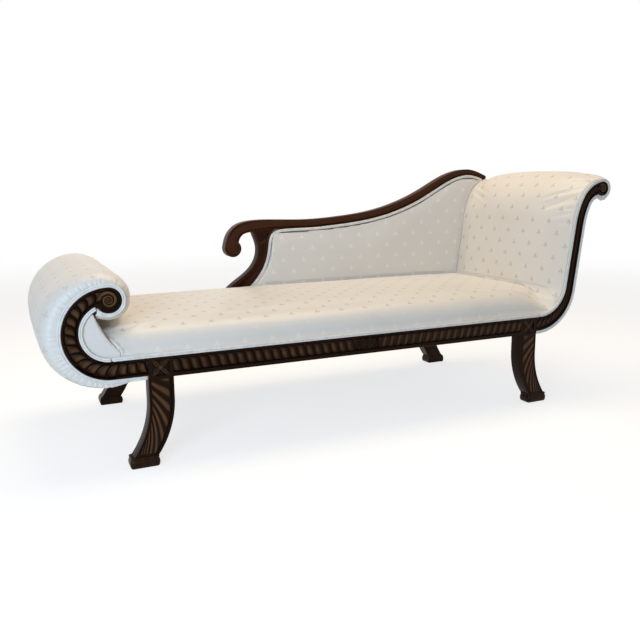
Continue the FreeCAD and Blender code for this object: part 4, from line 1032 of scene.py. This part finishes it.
def swellPads():
    scene = bpy.context.scene
    for frameNumber in range(1, stuffing["frames"] + 1):
        scene.frame_set(frameNumber)
    view = bpy.context.evaluated_depsgraph_get()
    for piece, node, settings in started:
        before, _ = readMesh(piece.data)
        after, _ = readMesh(piece.evaluated_get(view).data)
        move = after - before
        reach = np.linalg.norm(move, axis=1)[:, None]
        cap = settings["cap"] / 1000
        writeMesh(piece.data, before + move * np.minimum(1, cap / np.maximum(reach, 1e-9)))
        piece.modifiers.clear()
    scene.frame_set(1)


def treeOf(names):
    points, faces = [], []
    for name in names:
        mesh = nodes[name].data
        first = len(points)
        points.extend([v.co.copy() for v in mesh.vertices])
        faces.extend([tuple(first + i for i in polygon.vertices) for polygon in mesh.polygons])
    return BVHTree.FromPolygons(points, faces)


def ownAndOthers(node):
    return treeOf([node]), treeOf([name for name in nodes if name != node and "piping" not in name])


def fitPads():  # no pad stands further out of its solid than its neighbours leave room for
    limit = stuffing["proud"] / 1000
    for piece, node, _ in started:
        own, others = ownAndOthers(node)
        points, _ = readMesh(piece.data)
        for i, point in enumerate(points):
            spot = Vector(point)
            place, normal, _, gap = own.find_nearest(spot)
            if gap < 0.0002 or (spot - place).dot(normal) <= 0:
                continue
            other = others.find_nearest(place, 0.02)
            room = limit if other[0] is None else min(limit, max(0.0, other[3] * 0.6 - 0.0002))
            if gap > room:
                points[i] = place + (spot - place) * (room / gap)
        writeMesh(piece.data, points)


def closeUp(points, normals, node):  # beside a neighbour a pad fills its solid right out to the seam
    own, others = ownAndOthers(node)
    for i, (point, normal) in enumerate(zip(points, normals)):
        spot, away = Vector(point), Vector(normal)
        if others.find_nearest(spot, stuffing["seam"] / 1000)[0] is None:
            continue
        place = own.ray_cast(spot - away * 0.003, away, 0.012)[0]
        if place is not None:
            points[i] = place
    return points


def finishPad(piece, node, settings, material, clothAt, workedAt=None, shapedAt=None):
    smooth = piece.modifiers.new("finer", "SUBSURF")
    smooth.levels = smooth.render_levels = settings.get("finer", 1)
    mesh = bake(piece)
    points, normals = readMesh(mesh)
    points = closeUp(points, normals, node)
    drawn = toDrawing(points)
    if workedAt is not None:
        points = points + normals * (workedAt(drawn, normals) / 1000)[:, None]
    if shapedAt is not None:
        points = points + shapedAt(drawn, normals) / 1000
    writeMesh(mesh, points)
    cloth = clothAt(drawn, normals) / 1000
    layer = mesh.uv_layers.new(name="cloth")
    corners = np.empty(len(mesh.loops), np.int32)
    mesh.loops.foreach_get("vertex_index", corners)
    layer.data.foreach_set("uv", cloth[corners].ravel())
    mesh.polygons.foreach_set("use_smooth", [True] * len(mesh.polygons))
    mesh.materials.clear()
    mesh.materials.append(material)
    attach(piece, "root")
    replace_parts(piece, node)


def gathers(along, away, settings):  # sharp creases of uneven length that run away from a seam
    chance = np.random.default_rng(settings["seed"])
    drop = np.zeros(len(along))
    at, end = float(along.min()), float(along.max())
    while at < end:
        deep = settings["depth"] * chance.uniform(0.45, 1.0)
        reach = settings["reach"] * chance.uniform(0.45, 1.1)
        near = np.abs(along - at) < 14
        gap = np.abs(along[near] - at)
        fade = np.clip(1 - away[near] / reach, 0, 1) ** 1.2
        drop[near] -= deep * fade * np.exp(-gap / (1.3 + away[near] * 0.05))
        drop[near] += deep * 0.45 * fade * np.exp(-((gap - 5) ** 2) / 9)
        at += settings["spacing"] * chance.uniform(0.6, 1.5)
    return drop


def unevenness(points, size, height, seed):  # low soft hollows, as hand-stuffed hair leaves
    chance = np.random.default_rng(seed)
    total = np.zeros(len(points))
    for _ in range(7):
        direction = chance.normal(size=3)
        direction /= np.linalg.norm(direction)
        wave = 2 * math.pi / (size * chance.uniform(0.7, 1.8))
        total += np.sin(points @ direction * wave + chance.uniform(0, 6.3))
    return total * height / 3.5


# Seat
seat = {
    "voxel": 8.0,
    "shrink": 2.0,
    "cap": 6.0,
    "fill": 0.8,
    "section": [
        (8, 325), (14, 362), (32, 392), (86, 411), (200, 417), (355, 420),
        (510, 417), (624, 411), (678, 392), (696, 362), (702, 325),
    ],
    "tucks": {"depth": 0.7, "reach": 34, "spacing": 46, "seed": 5},
    "cornerFrom": 600.0,  # where along the seat its front edge starts to fall to the piping
    "cornerLength": 165.0,
    "cornerDepth": 170.0,
    "cornerDrop": 48.0,
    "footSeam": 0.6,
}
seatSection = smoothLine(seat["section"], 160)


def seatCloth(points, normals):
    along, _ = nearestOn(seatSection, points[:, 1:3])
    return np.stack([points[:, 0] + 20, along + 8], axis=1)


def seatWork(points, normals):
    top = np.clip(normals[:, 2], 0, 1)
    soft = unevenness(points, 260, 0.9, 3) * top
    nose = (np.abs(points[:, 2] - 336) < 26) & (normals[:, 1] < -0.3)
    return soft + gathers(points[:, 0], np.clip(points[:, 2] - 330, 0, 99), seat["tucks"]) * nose


def seatShape(points, normals):
    # the front corner at the head end is drawn down to the piping, and the foot end closes its seam
    toEnd = np.clip((points[:, 0] - seat["cornerFrom"]) / seat["cornerLength"], 0, 1) ** 2
    toFront = np.clip((seat["cornerDepth"] + 20 - points[:, 1]) / seat["cornerDepth"], 0, 1)
    toFront = toFront * toFront * (3 - 2 * toFront)
    high = np.clip((points[:, 2] - 332) / 78, 0, 1)
    move = np.zeros_like(points)
    move[:, 2] = -seat["cornerDrop"] * toEnd * toFront * high
    face = treeOf(["foot_pad_inner"])
    share = np.clip((-normals[:, 0] - 0.05) / 0.3, 0, 1) * (points[:, 0] < -400)
    for i in np.nonzero(share)[0]:
        gap = face.ray_cast(Vector(toFrame(points[i])), Vector((-1, 0, 0)), 0.03)[3]
        if gap is not None:
            move[i, 0] = -share[i] * max(gap * 1000 - seat["footSeam"], 0)
    return move


# Head end
headPad = {
    "voxel": 5.5,
    "shrink": 1.6,
    "cap": 5.0,
    "fill": 0.75,
    "tucks": {"depth": 2.2, "reach": 26, "spacing": 9.5, "seed": 7},
    "faintTucks": {"depth": 0.8, "reach": 18, "spacing": 30, "seed": 8},
    "pleat": {"depth": 3.6, "reach": 58.0, "spacing": 9.5, "radius": 36.0},
}
headLine = headScroll["inner"][1:] + [(25, -180)]
headSection = follow((blockOuter + 15, 320), 0, headLine, shift=24, step=6)[0]
headEdge = follow((blockOuter + 15, 320), 0, headLine, step=2)[0]


def headCloth(points, normals):
    along, _ = nearestOn(headSection, points[:, ::2])
    return np.stack([points[:, 1] + 21, along + 12], axis=1)


def headWork(points, normals):
    along, gap = nearestOn(headEdge, points[:, ::2])
    away = np.hypot(np.maximum(gap - 10, 0), points[:, 1] - 6)
    total = unevenness(points, 240, 0.8, 11) * (normals[:, 0] < 0.3)
    volute = along > lengthAlong(headEdge)[-1] - 150
    # radial pleats over the volute
    pleat = headPad["pleat"]
    dx, dz = (points[:, ::2] - np.array(headVoluteCentre())).T
    around = np.arctan2(dz, dx)
    beyond = np.maximum(np.hypot(dx, dz) - headScroll["voluteRadius"] - piping["width"], 0)
    fromVolute = np.hypot(beyond, np.maximum(points[:, 1] - 6, 0))
    folds = around * pleat["radius"] * 2 * math.pi / pleat["spacing"] + 0.8 * np.sin(around * 5)
    fade = np.clip(1 - fromVolute / pleat["reach"], 0, 1) * (np.abs(around - 1.4) < 1.15)
    total = total - pleat["depth"] * (0.5 + 0.5 * np.cos(folds)) ** 2 * fade
    tucks, faint = gathers(along, away, headPad["tucks"]), gathers(along, away, headPad["faintTucks"])
    return total + np.where(volute, tucks, faint)


headCover = {"voxel": 3.5, "shrink": 0.0, "cap": 2.0, "fill": 0.3, "finer": 0, "pressure": 1.0}
headOuterSection = follow(outerStart, 0, headScroll["outer"], step=6)[0]


def headCoverCloth(points, normals):
    along, _ = nearestOn(headOuterSection, points[:, ::2])
    return np.stack([points[:, 1] + 21, along], axis=1)


# Foot end
footRoll = {
    "voxel": 5.5,
    "shrink": 1.8,
    "cap": 6.0,
    "fill": 0.85,
    "section": [(94, 0), (162, 90), (162, 90), (110, 60), (60, 70)],
    "gathers": {"depth": 2.6, "reach": 58, "spacing": 13, "seed": 19},
}
toFootEnd = np.array([-1, 1])
footRollSection = follow(outerStart, 0, footRoll["section"], step=6)[0] * toFootEnd
footEdge = follow(outerStart, 0, footScroll["outer"] + [(35, 180)], step=2)[0] * toFootEnd


def footRollCloth(points, normals):
    along, _ = nearestOn(footRollSection, points[:, ::2])
    return np.stack([points[:, 1] + 21, along + 4], axis=1)


def fromEnds(points):  # how far a place lies in from the front and rear seams
    return np.maximum(np.minimum(points[:, 1] - 6, seatFrame["depth"] - 6 - points[:, 1]), 0)


def footRollWork(points, normals):
    along, gap = nearestOn(footEdge, points[:, ::2])
    away = np.hypot(np.maximum(gap - piping["width"], 0) * 0.9, fromEnds(points))
    total = unevenness(points, 210, 1.0, 17)
    strong = gathers(along, away, footRoll["gathers"])
    onRoll = np.clip((along - 70) / 40, 0, 1)
    return total + strong * onRoll * (gap > 5)


footFace = {
    "voxel": 4.5,
    "shrink": 1.2,
    "cap": 4.0,
    "fill": 0.7,
    "gathers": {"depth": 1.2, "reach": 30, "spacing": 18, "seed": 23},
}
footFaceSection = follow((blockOuter + 96, 320), 0, [(60, 82), (60, 70)], step=5)[0] * toFootEnd


def footFaceCloth(points, normals):
    along, _ = nearestOn(footFaceSection, points[:, ::2])
    return np.stack([points[:, 1] + 21, along], axis=1)


def footFaceWork(points, normals):
    return gathers(points[:, 2], fromEnds(points), footFace["gathers"])


# Back
backPad = {
    "voxel": 6.5,
    "shrink": 1.0,
    "cap": 4.0,
    "fill": 0.6,
    "gathers": {"depth": 0.7, "reach": 26, "spacing": 34, "seed": 29},
}
backCover = {"voxel": 4.0, "shrink": 0.0, "cap": 2.0, "fill": 0.3, "finer": 0, "pressure": 1.0}
underCrest = [p for p in belowCrest(1, 0) if p[0] > -20]
backEdge = smoothLine(back["stileRight"][:0:-1] + [(-72, 618)] + underCrest, 200)


def backCloth(points, normals):
    return np.stack([points[:, 0] + 30, points[:, 2] + 14], axis=1)


def backWork(points, normals):
    along, gap = nearestOn(backEdge, points[:, ::2])
    facing = normals[:, 1] < -0.5
    seam = gathers(along, np.maximum(gap - 14, 0), backPad["gathers"])
    return (unevenness(points, 230, 0.8, 31) + seam) * facing


def keepRear(points, normals):
    return (normals[:, 1] > 0.5) | (points[:, 2] < 340)


def keepBoardSide(edge, depth):
    def held(points, normals):
        _, gap = nearestOn(edge, points[:, ::2])
        return (gap < depth) | (np.abs(normals[:, 1]) > 0.75)

    return held


def keepUnder(points, normals):
    return (normals[:, 2] < -0.3) | (points[:, 2] < 334)


def keepFront(points, normals):
    return normals[:, 1] < 0.3


startPad("seatPad", "seat_pad", seat, keepUnder)
startPad("headPad", "head_pad", headPad, keepBoardSide(headEdge, 5))
startPad("headOutsideCover", "head_outside_cover", headCover, keepBoardSide(headOuterSection, 2.5))
startPad("footPadOuter", "foot_pad_outer", footRoll, keepBoardSide(footEdge, 5))
startPad("footPadInner", "foot_pad_inner", footFace, keepBoardSide(footFaceSection, 8))
startPad("backPad", "back_pad", backPad, keepRear)
startPad("backOutsideCover", "back_outside_cover", backCover, keepFront)
print("pads skinned")
swellPads()
fitPads()
print("pads swollen")
upholstery = {
    "seatPad": (seatSatin, seatCloth, seatWork, seatShape),
    "headPad": (headSatin, headCloth, headWork),
    "headOutsideCover": (backSatin, headCoverCloth),
    "footPadOuter": (rollSatin, footRollCloth, footRollWork),
    "footPadInner": (rollSatin, footFaceCloth, footFaceWork),
    "backPad": (backSatin, backCloth, backWork),
    "backOutsideCover": (backSatin, backCloth),
}
for piece, node, settings in started:
    finishPad(piece, node, settings, *upholstery[piece.name])
print("pads finished")

# Webbing, hessian and dust cover under the seat
underSeat = {
    "sag": 5.0,
    "cellsAlong": 120,
    "cellsAcross": 64,
    "strapThick": 1.6,
    "weave": 0.9,
    "strapSection": [  # share of the strap's width and of its thickness
        (0.0, -0.5), (0.02, -0.2), (0.02, 0.2), (0.0, 0.5), (0.5, 0.62),
        (1.0, 0.5), (0.98, 0.2), (0.98, -0.2), (1.0, -0.5), (0.5, -0.38),
    ],
}


def clothSheet(name, node, material, sag, notches=()):
    low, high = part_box(node)
    across, along = underSeat["cellsAcross"], underSeat["cellsAlong"]
    xs = np.linspace(low.x, high.x, along + 1)
    ys = np.linspace(low.y, high.y, across + 1)
    points, faces, index = [], [], {}
    for i, x in enumerate(xs):
        for j, y in enumerate(ys):
            u, v = i / along, j / across
            bowl = (1 - (2 * u - 1) ** 4) * (1 - (2 * v - 1) ** 4)
            droop = sag * bowl + 0.25 * math.sin(u * 60 + v * 23)
            points.append((x, y, (low.z + high.z) / 2 - droop / 1000))
            index[i, j] = len(points) - 1
    for i in range(along):
        for j in range(across):
            x, y = (xs[i] + xs[i + 1]) / 2, (ys[j] + ys[j + 1]) / 2
            if any(a < x < b and c < y < d for a, b, c, d in notches):
                continue
            faces.append((index[i, j], index[i + 1, j], index[i + 1, j + 1], index[i, j + 1]))
    mesh = bpy.data.meshes.new(name)
    mesh.from_pydata(points, [], faces)
    mesh.polygons.foreach_set("use_smooth", [True] * len(mesh.polygons))
    sheet = placePiece(name, mesh, material)
    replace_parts(sheet, node)


def islands(node):  # the box of each separate strap of a node
    mesh = nodes[node].data
    solid = bmesh.new()
    solid.from_mesh(mesh)
    bmesh.ops.remove_doubles(solid, verts=solid.verts, dist=1e-6)
    seen, boxes = set(), []
    for vertex in solid.verts:
        if vertex in seen:
            continue
        group, queue = [], [vertex]
        seen.add(vertex)
        while queue:
            here = queue.pop()
            group.append(here.co.copy())
            for edge in here.link_edges:
                other = edge.other_vert(here)
                if other not in seen:
                    seen.add(other)
                    queue.append(other)
        points = np.array(group)
        boxes.append((points.min(axis=0), points.max(axis=0)))
    solid.free()
    return sorted(boxes, key=lambda b: tuple(b[0]))


def strap(pile, low, high, axis, up, wave):  # a flat woven strap along one axis that bends over and under
    length = high[axis] - low[axis]
    across = 3 - axis - up
    steps = max(24, int(length / 0.012))
    cross = underSeat["strapSection"]
    first = len(pile.points)
    thick = underSeat["strapThick"] / 1000
    for i in range(steps + 1):
        along = low[axis] + length * i / steps
        lift = (low[up] + high[up]) / 2 + wave(along)
        for share, height in cross:
            point = [0.0, 0.0, 0.0]
            point[axis] = along
            point[across] = low[across] + (high[across] - low[across]) * share
            point[up] = lift + thick * height
            pile.points.append(tuple(point))
    pile.faces.extend(tubeFaces(steps + 1, len(cross), first))


def buildWebbing():
    crossing = islands("webbing_cross")
    running = islands("webbing_long")
    lift = underSeat["weave"] / 1000
    middles = [(low[0] + high[0]) / 2 for low, high in crossing]
    lanes = [(low[1] + high[1]) / 2 for low, high in running]
    for name, node, straps, axis, others, sign in (
        ("webbingCross", "webbing_cross", crossing, 1, lanes, 1),
        ("webbingLong", "webbing_long", running, 0, middles, -1),
    ):
        pile = Pile()
        for order, (low, high) in enumerate(straps):
            def wave(along, order=order):
                total = 0.0
                for place, other in enumerate(others):
                    side = 1 if (order + place) % 2 else -1
                    total += side * sign * math.exp(-(((along - other) / 0.026) ** 2))
                return total * lift
            strap(pile, low, high, axis, 2, wave)
        piece = strapPiece(name, pile)
        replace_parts(piece, node)
    pile = Pile()
    for low, high in islands("back_webbing"):
        strap(pile, low, high, 2, 1, lambda along: 0.0)
    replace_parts(strapPiece("backWebbing", pile), "back_webbing")


def strapPiece(name, pile):
    mesh = bpy.data.meshes.new(name)
    mesh.from_pydata(pile.points, [], pile.faces)
    mesh.update()
    return placePiece(name, mesh, juteCloth)


def standingNotches():  # where the posts of the back stand in the hessian
    spaces = []
    for node in ("back_stile", "back_head_post"):
        low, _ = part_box(node)
        across = [v.co.x for v in nodes[node].data.vertices if v.co.z < 0.33]
        spaces.append((min(across) - 0.004, max(across) + 0.004, low.y - 0.004, 1.0))
    return spaces


buildWebbing()
clothSheet("seatHessian", "seat_hessian", juteCloth, 0.0, standingNotches())
clothSheet("dustCover", "dust_cover", blackCloth, underSeat["sag"])
print("under side made")

# Plain joinery keeps its shape, with eased edges
joinery = {"easing": 1.2, "segments": 2}
plainParts = {
    "mahogany": ("leg_rear_foot", "leg_rear_head", "foot_scroll_rear", "head_scroll_rear"),
    "beech": (
        "rear_seat_rail", "foot_cross_rail", "head_cross_rail", "corner_blocks", "seat_braces",
        "foot_scroll_battens", "head_scroll_battens", "back_head_post", "back_tacking_rail",
    ),
    "steel": ("corner_block_screws", "back_frame_bolts"),
}
stuffs = {"mahogany": plainWood, "beech": beechWood, "steel": zincSteel}
for slotName, names in plainParts.items():
    for name in names:
        part = nodes[name]
        part.data.materials.clear()
        part.data.materials.append(stuffs[slotName])
        if slotName != "steel":
            easing = part.modifiers.new("easing", "BEVEL")
            easing.width = joinery["easing"] / 1000
            easing.segments = joinery["segments"]
            easing.limit_method = "ANGLE"
            easing.angle_limit = math.radians(35)
print("joinery finished")

# Floor, lights and camera
studio = {
    "window": {
        "at": (-2.2, -2.7, 1.2), "aim": (-0.1, 0.0, 0.4), "size": (1.4, 1.2),
        "watts": 68.0, "tint": (0.56, 0.76, 1.0),
    },
    "ceiling": {
        "at": (0.1, 0.4, 2.7), "aim": (0.0, 0.0, 0.3), "size": (2.4, 1.8),
        "watts": 50.0, "tint": (1.0, 0.80, 0.54),
    },
    "room": 0.22,
    "floorReach": 60.0,
    "floorGlow": 0.74,
    "floorWhite": (1.8, 6.5),  # metres from the middle between which the floor turns plain white
}


def backdropLight(shade):  # the camera, gloss and glass see plain white where lamps see the room
    path = shade.node("ShaderNodeLightPath")
    outputs = path.socket.node.outputs
    seen = Wire(shade, outputs["Is Camera Ray"])
    for name in ("Is Glossy Ray", "Is Transmission Ray"):
        seen = seen.by("MAXIMUM", Wire(shade, outputs[name]))
    return seen


def buildStudio():
    scene = bpy.context.scene
    for name in ("window", "ceiling"):
        lamp = studio[name]
        data = bpy.data.lights.new(name + "Light", "AREA")
        data.shape = "RECTANGLE"
        data.size, data.size_y = lamp["size"]
        data.energy = lamp["watts"]
        data.color = lamp["tint"]
        light = bpy.data.objects.new(name + "Light", data)
        light.location = lamp["at"]
        aim = Vector(lamp["aim"]) - Vector(lamp["at"])
        light.rotation_euler = aim.to_track_quat("-Z", "Y").to_euler()
        scene.collection.objects.link(light)
    world = bpy.data.worlds.new("room")
    scene.world = world
    world.use_nodes = True
    sky = Shade.__new__(Shade)
    sky.tree = world.node_tree
    sky.tree.nodes.clear()
    plainWhite = (1.0, 1.0, 1.0, 1.0)
    roomTint = (1.0, 0.97, 0.93, 1.0)
    soft = sky.node("ShaderNodeBackground", {}, {"Color": roomTint, "Strength": studio["room"]})
    white = sky.node("ShaderNodeBackground", {}, {"Color": plainWhite, "Strength": 1.0})
    mixed = sky.node("ShaderNodeMixShader", {}, {0: backdropLight(sky), 1: soft, 2: white})
    sky.node("ShaderNodeOutputWorld", {}, {"Surface": mixed})
    floorShade = Shade("paleFloor")
    matt, faint = (
        floorShade.node("ShaderNodeBsdfDiffuse", {}, {"Color": colour(tone, tone, tone)})
        for tone in (0.82, 0.40)
    )
    glow, white = (
        floorShade.node("ShaderNodeEmission", {}, {"Color": plainWhite, "Strength": strength})
        for strength in (studio["floorGlow"], 1.0)
    )
    lit = floorShade.node("ShaderNodeAddShader", {}, {0: faint, 1: glow})
    x, y, _ = floorShade.parts(floorShade.node("ShaderNodeNewGeometry", {}, {}, "Position"))
    far = floorShade.step((x * x + y * y) ** 0.5, *studio["floorWhite"])
    lit = floorShade.node("ShaderNodeMixShader", {}, {0: far, 1: lit, 2: white})
    both = floorShade.node("ShaderNodeMixShader", {}, {0: backdropLight(floorShade), 1: matt, 2: lit})
    floorShade.node("ShaderNodeOutputMaterial", {}, {"Surface": both})
    reach = studio["floorReach"]
    mesh = bpy.data.meshes.new("floor")
    corners = [(-reach, -reach, 0), (reach, -reach, 0), (reach, reach, 0), (-reach, reach, 0)]
    mesh.from_pydata(corners, [], [(0, 1, 2, 3)])
    mesh.materials.append(floorShade.material)
    floor = bpy.data.objects.new("floor", mesh)
    scene.collection.objects.link(floor)


view = {
    "x": -1.0415,  # metres from the middle of the seat
    "y": -2.2602,
    "z": 0.785,
    "yaw": 24.66,
    "pitch": 10.82,
    "roll": 0.35,
    "lens": 38.84,
}


def buildCamera():
    yaw, pitch, roll = (math.radians(view[key]) for key in ("yaw", "pitch", "roll"))
    right = Vector((math.cos(yaw), -math.sin(yaw), 0))
    ahead = Vector((math.sin(yaw) * math.cos(pitch), math.cos(yaw) * math.cos(pitch), -math.sin(pitch)))
    down = ahead.cross(right)
    rolled = right * math.cos(roll) + down * math.sin(roll)
    up = right * math.sin(roll) - down * math.cos(roll)
    data = bpy.data.cameras.new("photoCamera")
    data.lens = view["lens"]
    data.sensor_width = 36.0
    camera = bpy.data.objects.new("photoCamera", data)
    turn = Matrix((rolled, up, -ahead)).transposed().to_4x4()
    middleY = frontY + seatFrame["depth"] / 2000
    place = Matrix.Translation((middleX + view["x"], middleY + view["y"], view["z"]))
    camera.matrix_world = place @ turn
    bpy.context.scene.collection.objects.link(camera)
    bpy.context.scene.camera = camera


buildStudio()
buildCamera()
bpy.context.scene.view_settings.view_transform = "Standard"
print("scene ready")
